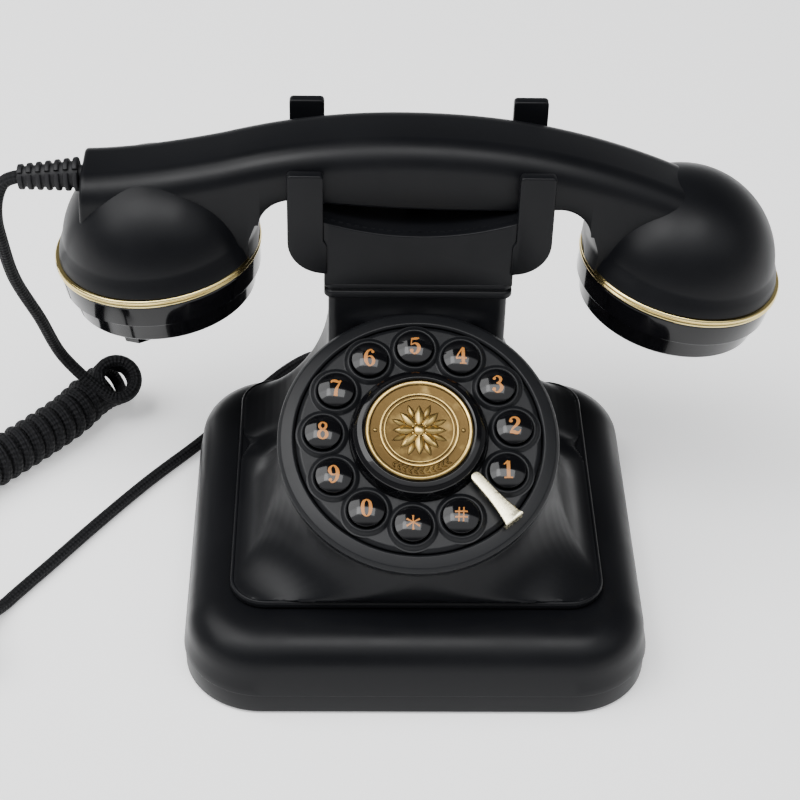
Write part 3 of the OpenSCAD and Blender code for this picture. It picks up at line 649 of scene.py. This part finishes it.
def neck_shape():
    """The neck, upright above and flaring out to the tier in a quarter of an ellipse."""
    rings = []
    levels = [(27, 90)] + [(None, a) for a in np.linspace(90, 0, 19)] + [(102, 0)]
    for z, a in levels:
        spread_out = 1 - math.cos(math.radians(a))
        height = z if z else flare_top - 41 * math.sin(math.radians(a))
        half_w = neck_half_w + flare_foot * spread_out
        corner = 3.0 + 8.1 * spread_out**2
        ring = rounded_rect(half_w, 18.5, corner, 6)
        rings.append([(x, y + 42.5, height) for x, y in ring])
    return skin(rings)


housing_skin = blended(skirt_shape(), neck_shape(), 8.0, 0.9)
rim_profile = [(-8, 30.6), (-1.6, 30.6), (-0.9, 31.2), (-0.35, 31.0), (0, 30.3), (0, 28.9),
               (-0.5, 28.4), (-1.2, 28.2), (-1.2, 27.6), (-8, 27.6)]
tier_rim = slab(tier_half_w, tier_half_d, 12,
                fillet(rim_profile, [0, 0.8, 0.4, 0.5, 0.5, 0.5, 0.3, 0.2, 0, 0], 4), tier_mid)
tier_top = slab(tier_half_w, tier_half_d, 12, [(-7, 27.8), (-7, 30.58)], tier_mid, closed=False)
lip_profile = [(-6, 97.4), (-0.8, 97.4), (0.1, 98.0), (0.1, 100.1), (-0.9, 100.7), (-0.9, 101.1),
               (0.1, 101.7), (0.1, 103.2), (-0.4, 103.5), (-6, 103.5)]
neck_lip = slab(neck_half_w + 1.3, 19.9, 3,
                fillet(lip_profile, [0, 0.3, 0.6, 0.8, 0.3, 0.3, 0.5, 0.5, 0.3, 0], 4), 42.4)
neck_cap = slab(neck_half_w + 1.3, 19.9, 3, [(-5, 97.6), (-5, 103.48)], 42.4, closed=False)
add_piece("upper_housing_skin", [housing_skin, tier_rim, tier_top, neck_lip, neck_cap], [satin],
          "base", ["upper_housing"], sharp=50)


# ---------- dial ----------
groove_r, plate_r, button_circle_r = 40.4, 40, 31.1
button_r, button_step, first_button = 5.85, 29, -24
plate_top, hub_r, medallion_r = -2.5, 22.4, 17.5
names = [*"1234567890", "star", "hash"]


def at_button(k):
    """The k-th button's place in the dial's plane."""
    angle = math.radians(first_button + button_step * k)
    x, y = button_circle_r * math.cos(angle), button_circle_r * math.sin(angle)
    return Matrix.Translation((x, y, 0))


bezel_profile = [(groove_r, -8.5), (groove_r, -3.5), (41.1, -2.8), (44.8, -3.9), (46, -5.2),
                 (46, -7.4), (45.2, -8.5)]
bezel_section = fillet(bezel_profile, [0, 0.5, 0.6, 1.2, 1.0, 0.6, 0], 6)
add_piece("dial_bezel_ring", [lathe(bezel_section, 192)], [satin_fine], "base",
          ["dial_bezel"], dial_frame)


def make_dial_plate():
    """The plate: a flat disc with a soft rim, bored for the buttons, with a collar round each."""
    edge = [(0, -4.5), (plate_r - 0.8, -4.5), (plate_r - 0.8, -8.4), (plate_r, -8.4),
            (plate_r, plate_top - 1.1), (plate_r - 1.3, plate_top), (0, plate_top)]
    disc = lathe(fillet(edge, [0, 0, 0, 0, 0.9, 1.2, 0], 5), 192, closed=False)
    obj = build_object("dial_plate_disc", [disc])
    hole = lathe([(0, -6), (6.6, -6), (6.6, 0), (0, 0)], 64, closed=False)
    cut(obj, [moved(hole, at_button(k)) for k in range(12)])
    section = [(6.15, -4.5), (6.15, -1.6), (6.9, -1.1), (7.6, -1.7), (8.3, plate_top + 0.02),
               (8.9, plate_top - 0.04), (8.9, -4.5)]
    collar = lathe(fillet(section, [0, 0.3, 0.5, 0.7, 0.8, 0.1, 0], 5), 64)
    shapes = [taken(obj)] + [moved(collar, at_button(k)) for k in range(12)]
    return add_piece("dial_plate_face", shapes, [satin_fine], "base", ["dial_plate"],
                     dial_frame, 40)


make_dial_plate()

hub_profile = [(0, plate_top), (hub_r + 0.6, plate_top), (hub_r, -1.6), (22.2, 0.4), (21.4, 2.2),
               (20.0, 3.3), (18.5, 3.9), (17.85, 3.6), (17.7, 2.9), (17.7, 1.2), (0, 1.2)]
add_piece("dial_hub_ring",
          [lathe(fillet(hub_profile, [0, 0.5, 0.6, 1.5, 1.5, 1.5, 0.4, 0.3, 0, 0, 0], 5), 160,
                 closed=False)],
          [gloss], "base", ["dial_hub"], dial_frame)


def ridge(r, width, height):
    """A raised ring with a round top."""
    low, high, foot, top = 2.75, 2.95 + height, width / 2, width / 2.6
    section = [(r - foot, low), (r - top, high), (r + top, high), (r + foot, low)]
    return lathe(fillet(section, [0, 0.25, 0.25, 0], 4), 128)


def bead(x, y, r, base=2.9, squash=0.7):
    """A low round bead on the medallion."""
    profile = [(r * math.cos(a), base + squash * r * math.sin(a))
               for a in np.radians([-20, 10, 30, 50, 70, 85])]
    return moved(lathe(profile, 20, closed=False), Matrix.Translation((x, y, 0)))


def petal(length, width, height, angle, start):
    """A pointed petal with a ridge along its middle, reaching out from the rosette."""
    rings = []
    for t in np.linspace(0, 1, 11):
        half = width / 2 * math.sin(math.pi * (0.08 + 0.92 * t) ** 0.8) ** 0.8 + 0.02
        top = height * (0.35 + 0.65 * math.sin(math.pi * min(1, t + 0.12)))
        r = start + length * t
        section = [(-1, -0.2), (-0.8, top * 0.45), (-0.3, top * 0.75), (0, top),
                   (0.3, top * 0.75), (0.8, top * 0.45), (1, -0.2)]
        rings.append([(r, half * y, 2.9 + z) for y, z in section])
    return moved(skin(rings), Matrix.Rotation(math.radians(angle), 4, "Z"))


def medallion_shapes():
    """A coin with ridged rings, two beads, an eight-petalled rosette and a garland of leaves."""
    base = [(0, 1), (medallion_r, 1), (medallion_r, 3.3), (16.9, 3.9), (16.2, 3.7), (15.9, 2.95),
            (0, 2.9)]
    shapes = [lathe(fillet(base, [0, 0, 0.3, 0.4, 0.3, 0.3, 0], 4), 160, closed=False)]
    shapes += [ridge(12.5, 0.9, 0.75), ridge(11.2, 0.7, 0.6)]
    shapes += [bead(s * 14.25, 0, 0.75) for s in (-1, 1)]
    shapes += [petal(6.8, 3.5, 1.05, 45 * k, 1.9) for k in range(8)]
    shapes += [petal(4.6, 2.2, 0.8, 45 * k + 22.5, 5.0) for k in range(8)]
    shapes.append(bead(0, 0, 2.0, 3.0, 0.6))
    shapes += [bead(x, y, 0.36, 3.4) for x, y in arc((0, 0), 2.35, 0, 330, 11)]
    for k in range(-5, 6):
        for lean in (-1, 1):
            leaf = petal(2.0, 0.85, 0.5, 0, 0)
            turn = Matrix.Rotation(math.radians(-90 + 7.4 * k), 4, "Z")
            tilt = Matrix.Rotation(math.radians(90 + lean * 35), 4, "Z")
            shapes.append(moved(leaf, turn @ Matrix.Translation((14.2, 0, 0)) @ tilt))
    return shapes


add_piece("medallion_rosette", medallion_shapes(), [brass], "base", ["medallion"],
          dial_frame, 50)


def make_finger_stop():
    """The waisted stop bar between the hub and the rim, with its hooked outer end."""
    length = 18.6
    side = [(length * t, 1.8 + 0.2 * t + 1.5 * t**3) for t in np.linspace(0, 1, 15)]
    nose = arc((0, 0), 1.8, 105, 255, 10)
    outline = nose + [(x, -w) for x, w in side] + [(x, w) for x, w in reversed(side)]
    bar = extrude(outline, 0.6, 1.95, 0.35)
    hook = extrude([(length - 1.1, -3.3), (length, -3.3), (length, 3.3), (length - 1.1, 3.3)],
                   -2.4, 1.5, 0.25)
    post = extrude([(3, -1), (7, -1), (7, 1), (3, 1)], plate_top, 0.8, 0.1)
    turn = Matrix.Translation((18.3, -15.6, 0)) @ Matrix.Rotation(math.radians(-50.7), 4, "Z")
    add_piece("finger_stop_bar", [bar, hook, post], [stop_gold], "base", ["finger_stop"],
              dial_frame @ turn)


make_finger_stop()


# ---------- buttons and their marks ----------
dome_h = 1.4
ball_r = (button_r**2 + dome_h**2) / (2 * dome_h)


def on_dome(x, y, lift):
    """The point above (x, y) that lies by lift over a button's domed top."""
    return x, y, math.sqrt(max(ball_r**2 - x * x - y * y, 0)) + dome_h - ball_r + lift


# Strokes of each mark: points of (x, y, width) in a box one unit high, then round ends (x, y, r)
marks = {
    "1": ([[(0.02, 0.48, 0.19), (0.02, 0.0, 0.19), (0.02, -0.46, 0.19)],
           [(-0.21, -0.46, 0.08), (0.25, -0.46, 0.08)],
           [(-0.22, 0.27, 0.06), (-0.1, 0.36, 0.1), (0.03, 0.47, 0.14)]], []),
    "2": ([[(-0.22, 0.24, 0.1), (-0.2, 0.38, 0.09), (-0.04, 0.47, 0.1), (0.14, 0.4, 0.17),
            (0.2, 0.22, 0.2), (0.1, 0.02, 0.16), (-0.1, -0.18, 0.11), (-0.25, -0.42, 0.07)],
           [(-0.27, -0.4, 0.09), (-0.08, -0.38, 0.18), (0.12, -0.43, 0.16), (0.26, -0.34, 0.06),
            (0.29, -0.24, 0.05)]], [(-0.2, 0.25, 0.1)]),
    "3": ([[(-0.2, 0.34, 0.07), (-0.04, 0.47, 0.08), (0.12, 0.4, 0.15), (0.17, 0.26, 0.17),
            (0.1, 0.1, 0.12), (-0.06, 0.04, 0.06)],
           [(-0.06, 0.04, 0.06), (0.12, -0.02, 0.13), (0.22, -0.2, 0.19), (0.12, -0.4, 0.15),
            (-0.06, -0.47, 0.08), (-0.22, -0.36, 0.07)]],
          [(-0.17, 0.31, 0.085), (-0.19, -0.31, 0.1)]),
    "4": ([[(0.1, 0.47, 0.1), (-0.1, 0.16, 0.08), (-0.28, -0.17, 0.08)],
           [(-0.29, -0.18, 0.1), (0.28, -0.18, 0.1)],
           [(0.1, 0.46, 0.14), (0.1, 0.1, 0.18), (0.1, -0.46, 0.18)],
           [(-0.08, -0.47, 0.07), (0.27, -0.47, 0.07)]], []),
    "5": ([[(-0.17, 0.4, 0.13), (0.05, 0.42, 0.15), (0.23, 0.46, 0.08)],
           [(-0.17, 0.45, 0.07), (-0.19, 0.2, 0.06), (-0.21, 0.02, 0.06)],
           [(-0.2, 0.03, 0.06), (-0.02, 0.12, 0.09), (0.16, 0.04, 0.17), (0.21, -0.16, 0.2),
            (0.12, -0.38, 0.15), (-0.05, -0.47, 0.08), (-0.22, -0.36, 0.07)]],
          [(-0.18, -0.3, 0.1)]),
    "6": ([[(0.2, 0.36, 0.07), (0.08, 0.47, 0.08), (-0.1, 0.36, 0.13), (-0.2, 0.1, 0.19),
            (-0.19, -0.2, 0.19), (-0.08, -0.42, 0.12), (0.05, -0.47, 0.08), (0.19, -0.34, 0.15),
            (0.21, -0.16, 0.18), (0.12, 0.02, 0.12), (-0.03, 0.06, 0.07), (-0.15, -0.04, 0.05)]],
          [(0.17, 0.33, 0.085)]),
    "7": ([[(-0.25, 0.3, 0.06), (-0.22, 0.4, 0.14), (-0.05, 0.42, 0.17), (0.12, 0.36, 0.14),
            (0.27, 0.44, 0.07)],
           [(0.27, 0.44, 0.06), (0.14, 0.18, 0.1), (0.02, -0.1, 0.17), (-0.02, -0.46, 0.21)]], []),
    "8": ([[(0, 0.04, 0.09), (-0.16, 0.16, 0.14), (-0.15, 0.36, 0.13), (0.0, 0.46, 0.08),
            (0.15, 0.36, 0.13), (0.15, 0.16, 0.13), (0, 0.04, 0.1), (-0.19, -0.12, 0.16),
            (-0.19, -0.34, 0.16), (0, -0.47, 0.08), (0.19, -0.34, 0.17), (0.19, -0.12, 0.17),
            (0, 0.04, 0.1)]], []),
    "0": ([[(0, 0.46, 0.07), (-0.16, 0.32, 0.15), (-0.21, 0.0, 0.19), (-0.16, -0.32, 0.15),
            (0, -0.46, 0.07), (0.16, -0.32, 0.15), (0.21, 0.0, 0.19), (0.16, 0.32, 0.15),
            (0, 0.46, 0.07)]], []),
    "star": ([[(0, 0, 0.05), (0.4 * math.sin(a), 0.4 * math.cos(a), 0.11)]
              for a in np.radians(np.arange(0, 360, 60))], []),
    "hash": ([[(-0.14, -0.4, 0.07), (-0.1, 0.4, 0.07)], [(0.1, -0.4, 0.07), (0.14, 0.4, 0.07)],
              [(-0.33, 0.15, 0.09), (0.33, 0.15, 0.09)],
              [(-0.33, -0.15, 0.09), (0.33, -0.15, 0.09)]], []),
}
# A nine is a six turned round
marks["9"] = ([[(-x, -y, w) for x, y, w in line] for line in marks["6"][0]],
              [(-x, -y, r) for x, y, r in marks["6"][1]])


def mark_shapes(name):
    """The mark's strokes as thin paint that follows the dome."""
    height = 6.1
    strokes, ends = marks[name]
    shapes = []
    for level, stroke in enumerate(strokes):
        line = smooth_curve([(x * height, y * height, w * height) for x, y, w in stroke],
                            7 if len(stroke) > 2 else 14)
        ahead = tangents(line * (1, 1, 0))
        across = np.stack([-ahead[:, 1], ahead[:, 0]], 1)
        lift = 0.025 + 0.004 * level
        rows = [[on_dome(x + side[0] * w * share, y + side[1] * w * share, lift)
                 for share in (-0.5, -0.17, 0.17, 0.5)] for (x, y, w), side in zip(line, across)]
        shapes.append(ribbon(rows))
    for x, y, r in ends:
        centre = (x * height, y * height)
        points = [centre] + arc(centre, r * height, 0, 345, 23)
        fan = [(0, 1 + i, 1 + (i + 1) % 24) for i in range(24)]
        shapes.append(([on_dome(px, py, 0.045) for px, py in points], fan))
    return shapes


def ribbon(rows):
    """An open strip of faces through rows of points."""
    rows = np.array(rows, float)
    count, n = rows.shape[:2]
    faces = [(k * n + i, (k + 1) * n + i, (k + 1) * n + i + 1, k * n + i + 1)
             for k in range(count - 1) for i in range(n - 1)]
    return rows.reshape(-1, 3), faces


def make_button(k):
    """A domed cap on its flange, with its mark on top."""
    crown = [(ball_r * math.sin(a), ball_r * math.cos(a) + dome_h - ball_r)
             for a in np.linspace(math.asin(5.6 / ball_r), 0, 14)]
    side = fillet([(0, -5.8), (7, -5.8), (7, -4.8), (button_r, -4.8), (button_r, 0), crown[0]],
                  [0, 0.2, 0.2, 0.1, 0.25, 0], 4, closed=False)
    cap = lathe(list(side) + crown[1:], 96, closed=False)
    shapes = [(*cap, 0)] + [(*shape, 1) for shape in mark_shapes(names[k])]
    name = "button_" + names[k]
    add_piece(name + "_cap", shapes, [gloss, paint], name, [name],
              dial_frame @ at_button(k))


for number in range(12):
    make_button(number)


# ---------- cradle ----------
saddle_low, saddle_r = 122.6, (31**2 + 5.2**2) / (2 * 5.2)
prong_inner, cradle_half_w, neck_top = 31.4, 43, 103.5
corner_r, corner_z = 12, 120


def upright(outline, front, back, edge):
    """A plate that stands across the telephone, from its outline in X and Z."""
    shape = extrude(outline, -back, -front, edge)
    return moved(shape, Matrix.Rotation(math.radians(90), 4, "X"))


def prong_outline(side, top):
    """One prong with its big lower corner and its small upper corners."""
    inner = prong_inner
    low = arc((31, corner_z), corner_r, -90, 0, 12)
    high = fillet([(cradle_half_w, 121), (cradle_half_w, top), (inner, top), (inner, 121)],
                  [0, 1.3, 1.3, 0], 4, closed=False)
    points = [(inner - 1.2, 108)] + low[1:] + list(high) + [(inner - 1.2, 119)]
    return [(side * x, z) for x, z in points]


def saddle_line(half):
    """The saddle that the handle hangs over, from right to left."""
    edge = math.degrees(math.asin(half / saddle_r))
    return arc((0, saddle_low + saddle_r), saddle_r, -90 + edge, -90 - edge, 24)


def panel_outline():
    """The panel between the prongs, with the saddle in its upper edge."""
    half, step_z = prong_inner + 0.2, 108
    return ([(-31, neck_top - 0.6), (31, neck_top - 0.6), (31, step_z), (half, step_z)]
            + saddle_line(half) + [(-half, step_z), (-31, step_z)])


def body_outline():
    """The solid middle of the cradle behind the panel."""
    right = arc((31, corner_z), corner_r, -90, 0, 10)
    left = arc((-31, corner_z), corner_r, 180, 270, 10)
    inner, outer, top = prong_inner, cradle_half_w, 128.6
    return ([(-31, neck_top - 0.6), (31, neck_top - 0.6)] + right + [(outer, top), (inner, top)]
            + saddle_line(inner) + [(-inner, top), (-outer, top)] + left)


cradle_front, cradle_rear, prong_t = 21.8, 64.7, 3.5
cradle_shapes = [upright(panel_outline(), cradle_front + 0.8, cradle_front + 4.5, 0.5),
                 upright(panel_outline(), cradle_rear - 4.5, cradle_rear - 0.4, 0.5),
                 upright(body_outline(), cradle_front + 3, cradle_rear - 3, 0.3)]
for s in (-1, 1):
    cradle_shapes.append(upright(prong_outline(s, 146), cradle_front, cradle_front + prong_t, 0.6))
    cradle_shapes.append(upright(prong_outline(s, 150), cradle_rear - prong_t, cradle_rear, 0.6))
add_piece("cradle_yoke", cradle_shapes, [satin], "base", ["cradle"])


# ---------- handset ----------
arch_leg_x, arch_r, handle_half_w, shoulder_r = 54.5, 11, 15, 9
arch_x = arch_leg_x - arch_r


def handle_top(x):
    """Top line of the handle: a smooth arch that runs out flat at the left end."""
    if x < -66:
        return 31.2 + 8.4 * ((x - handle_left) / 46.4) ** 1.5
    return 49.6 - 18.3 * (abs(x) / 88) ** 2.1


def handle_bottom(x):
    """Underside of the handle: nearly flat in the middle, turning down into the two legs."""
    if abs(x) >= arch_leg_x:
        return 5
    if abs(x) > arch_x:
        return 28.6 - arch_r + math.sqrt(arch_r**2 - (abs(x) - arch_x) ** 2)
    return 27 + 1.6 * (x / arch_x) ** 2


def handle_ring(x, inset):
    """Section across the handle: square feet and rounded shoulders."""
    half, top, low = handle_half_w - inset, handle_top(x) - inset, handle_bottom(x) + inset
    r = shoulder_r - inset
    points = arc((-half + 1.2, low + 1.2), 1.2, 180, 270, 3)
    points += arc((half - 1.2, low + 1.2), 1.2, 270, 360, 3)
    points += arc((half - r, top - r), r, 0, 90, 12) + arc((-half + r, top - r), r, 90, 180, 12)
    return [(x, y, z) for y, z in points]


def make_handset():
    """The handle with its two domed cups."""
    rings = [handle_ring(handle_left + 1.2 * (1 - math.cos(a)), 1.2 * (1 - math.sin(a)))
             for a in np.radians([0, 22, 45, 67, 90])]
    stations = list(np.linspace(handle_left + 2, -arch_leg_x - 0.2, 28))
    stations += [-arch_x - arch_r * math.cos(a) for a in np.radians(np.linspace(0, 84, 14))]
    stations += list(np.linspace(-arch_x, arch_x, 44))
    stations += [arch_x + arch_r * math.cos(a) for a in np.radians(np.linspace(84, 0, 14))]
    stations += list(np.linspace(arch_leg_x + 0.2, handle_right, 20))
    rings += [handle_ring(x, 0) for x in stations]
    handle = build_object("handle", [skin(rings)], handset_frame)
    cut(handle, [box((-43, -11, 18), (43, 11, 30.4))], handset_frame)
    # The legs narrow to the trim rings' circle at their feet
    taper = fillet([(34.8, -10), (34.8, 1.5), (35.3, 8), (38, 14), (60, 14), (60, -10)],
                   [0, 3, 8, 0, 0, 0], 6)
    for side in (-1, 1):
        cut(handle, [lathe(taper, 160)], cup_frame(side))
    shapes = [taken(handle)]
    foot_r, ball = 33.9, 32.3
    outline = [(29, 1.3), (foot_r - 0.2, 1.3), (foot_r, 1.6), (ball + 0.65, 5.2)]
    outline += arc((0, 1.4), ball, 10, 90, 32)
    for side in (-1, 1):
        shift = Matrix.Translation((-0.6 * side, 0, 0))
        dome = lathe([(0, 1.3)] + outline, 160, closed=False)
        shapes.append(moved(dome, cup_frame(side) @ shift))
    return add_piece("handset_body", shapes, [satin], "handset", ["handset_shell"],
                     sharp=40)


make_handset()

ring_section = [(31.5, -1.5), (34.4, -1.5), (34.95, -0.9), (34.45, -0.15), (34.95, 0.6),
                (34.4, 1.25), (31.5, 1.25)]
cap_section = [(0, -18.4), (29.2, -18.4), (30.8, -17), (32.0, -10.3), (33.5, -9.7), (34.1, -2.3),
               (33.9, -1.45), (30, -1.45), (29, -9.5), (28, -16), (0, -16)]


def sound_holes(rings):
    """Cutters for the rings of holes in a cap's floor."""
    hole = lathe([(0, -20), (1.2, -20), (1.2, -14), (0, -14)], 20, closed=False)
    places = [(0, 0)]
    for ring in range(1, rings + 1):
        places += arc((0, 0), 4.6 * ring, 0, 360 - 60 / ring, 6 * ring - 1)
    return [moved(hole, Matrix.Translation((x, y, 0))) for x, y in places]


def make_cup(side, word, holes, lug):
    """The trim ring and the two-tier gloss cap of a cup."""
    section = fillet(ring_section, [0, 0.4, 0.55, 0.15, 0.55, 0.4, 0], 5)
    add_piece(word + "_trim", [lathe(section, 192)], [gold], "handset", [word + "_ring"],
              cup_frame(side), 60)
    section = fillet(cap_section, [0, 1.2, 1.2, 0.5, 0.6, 0.4, 0.3, 0, 0.5, 0.5, 0], 5)
    cap = build_object("cap", [lathe(section, 160, closed=False)])
    cut(cap, sound_holes(holes))
    shapes = [taken(cap)]
    if lug:
        outline = [(0, -3.9), (5, -4), (6.4, -3.6), (6.8, 0.3), (0, 0.3)]
        step = lathe(fillet(outline, [0, 0.5, 0.8, 0, 0], 3), 8, closed=False)
        shapes.append(moved(step, Matrix.Translation((-8, -20, -18.2))))
    add_piece(word + "_cover", shapes, [gloss], "handset", [word + "_cap"],
              cup_frame(side), 40)


make_cup(-1, "mouthpiece", 1, True)
make_cup(1, "earpiece", 2, False)


# ---------- CAD nodes that stay, with their materials ----------
kept = {
    "bottom_cover": satin, "base_housing": satin, "handset_cover": satin,
    "hook_plunger": gloss, "switch_knob": gloss, "line_jack": gloss, "handset_jack": gloss,
    "switch_case": rubber, "hook_switch": gloss, "feet": rubber, "keypad_membrane": rubber,
    "ringer": rubber, "base_screws": steel, "cradle_screws": steel, "dial_screws": steel,
    "handset_screws": steel, "ballast": steel, "handset_weight": steel, "hook_spring": steel,
    "microphone": steel, "receiver": steel, "main_board": board, "keypad_board": board,
    "cord_plug": clear,
}


def dress(name, material):
    """Gives a CAD node its material and smooth shading; its points stay where they are."""
    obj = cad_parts[name]
    obj.data.materials.clear()
    obj.data.materials.append(material)
    weld = obj.modifiers.new("weld", "WELD")
    weld.merge_threshold = 0.000002
    obj.data.shade_smooth()
    obj.data.set_sharp_from_angle(angle=math.radians(30))


for node_name, node_material in kept.items():
    dress(node_name, node_material)


# ---------- floor and light ----------
def make_floor():
    """A wide pale floor."""
    mesh = bpy.data.meshes.new("floor")
    half = 4.0
    mesh.from_pydata([(-half, -half, 0), (half, -half, 0), (half, half, 0), (-half, half, 0)], [],
                     [(0, 1, 2, 3)])
    floor = bpy.data.objects.new("floor", mesh)
    scene.collection.objects.link(floor)
    material, tree, shader = new_material("pale_floor")
    slow = noise(tree, object_point(tree), 3)
    tone = two_colours(tree, slow, (0.93, 0.93, 0.93), (0.95, 0.95, 0.95))
    tree.links.new(tone, shader.inputs["Base Color"])
    shader.inputs["Roughness"].default_value = 0.9
    shader.inputs["Specular IOR Level"].default_value = 0.1
    shader.inputs["Emission Color"].default_value = (1, 1, 1, 1)
    shader.inputs["Emission Strength"].default_value = 0.45
    mesh.materials.append(material)


def softbox(name, azimuth, elevation, distance, width, height, power):
    """A soft rectangular light that faces the telephone; azimuth 0 is at the user's side."""
    data = bpy.data.lights.new(name, "AREA")
    data.shape = "RECTANGLE"
    data.size, data.size_y, data.energy = width, height, power
    light = bpy.data.objects.new(name, data)
    scene.collection.objects.link(light)
    a, e = math.radians(azimuth), math.radians(elevation)
    away = Vector((math.sin(a) * math.cos(e), -math.cos(a) * math.cos(e), math.sin(e)))
    light.location = Vector((0, 0, 0.06)) + away * distance
    light.rotation_mode = "QUATERNION"
    light.rotation_quaternion = (-away).to_track_quat("-Z", "Y")


def make_world():
    """A studio: a bright sheet in front and above, dark elsewhere above, pale walls low down."""
    world = bpy.data.worlds.new("studio")
    world.use_nodes = True
    tree = world.node_tree
    way = add_node(tree, "TexCoord").outputs["Generated"]
    x, y, z = add_node(tree, "SeparateXYZ", [(0, way)]).outputs
    front = math_node(tree, "MULTIPLY", y, -1)
    before = math_node(tree, "SUBTRACT", front, math_node(tree, "MULTIPLY", z, 0.07))
    above = math_node(tree, "SUBTRACT", math_node(tree, "MULTIPLY", z, 0.80),
                      math_node(tree, "MULTIPLY", front, 0.60))
    sheet = math_node(tree, "MULTIPLY", spread_to(tree, before, 0, 1, -0.02, 0.05),
                      spread_to(tree, above, 0, 1, 0, 0.12))
    aside = spread_to(tree, math_node(tree, "ABSOLUTE", x), 1, 0, 0.72, 0.92)
    sheet = math_node(tree, "MULTIPLY", sheet, aside)
    low = spread_to(tree, z, 1, 0, 0.1, 0.7)
    glow = math_node(tree, "ADD", math_node(tree, "MULTIPLY", low, 0.45), 0.05)
    glow = math_node(tree, "ADD", glow, math_node(tree, "MULTIPLY", sheet, 1.7))
    tree.nodes["Background"].inputs["Color"].default_value = (0.97, 0.98, 1.0, 1)
    tree.links.new(glow, tree.nodes["Background"].inputs["Strength"])
    scene.world = world


make_floor()
make_world()
softbox("key_left", -88, 52, 1.6, 1.3, 1.2, 26)
softbox("key_top", -6, 74, 1.7, 1.6, 0.7, 22)
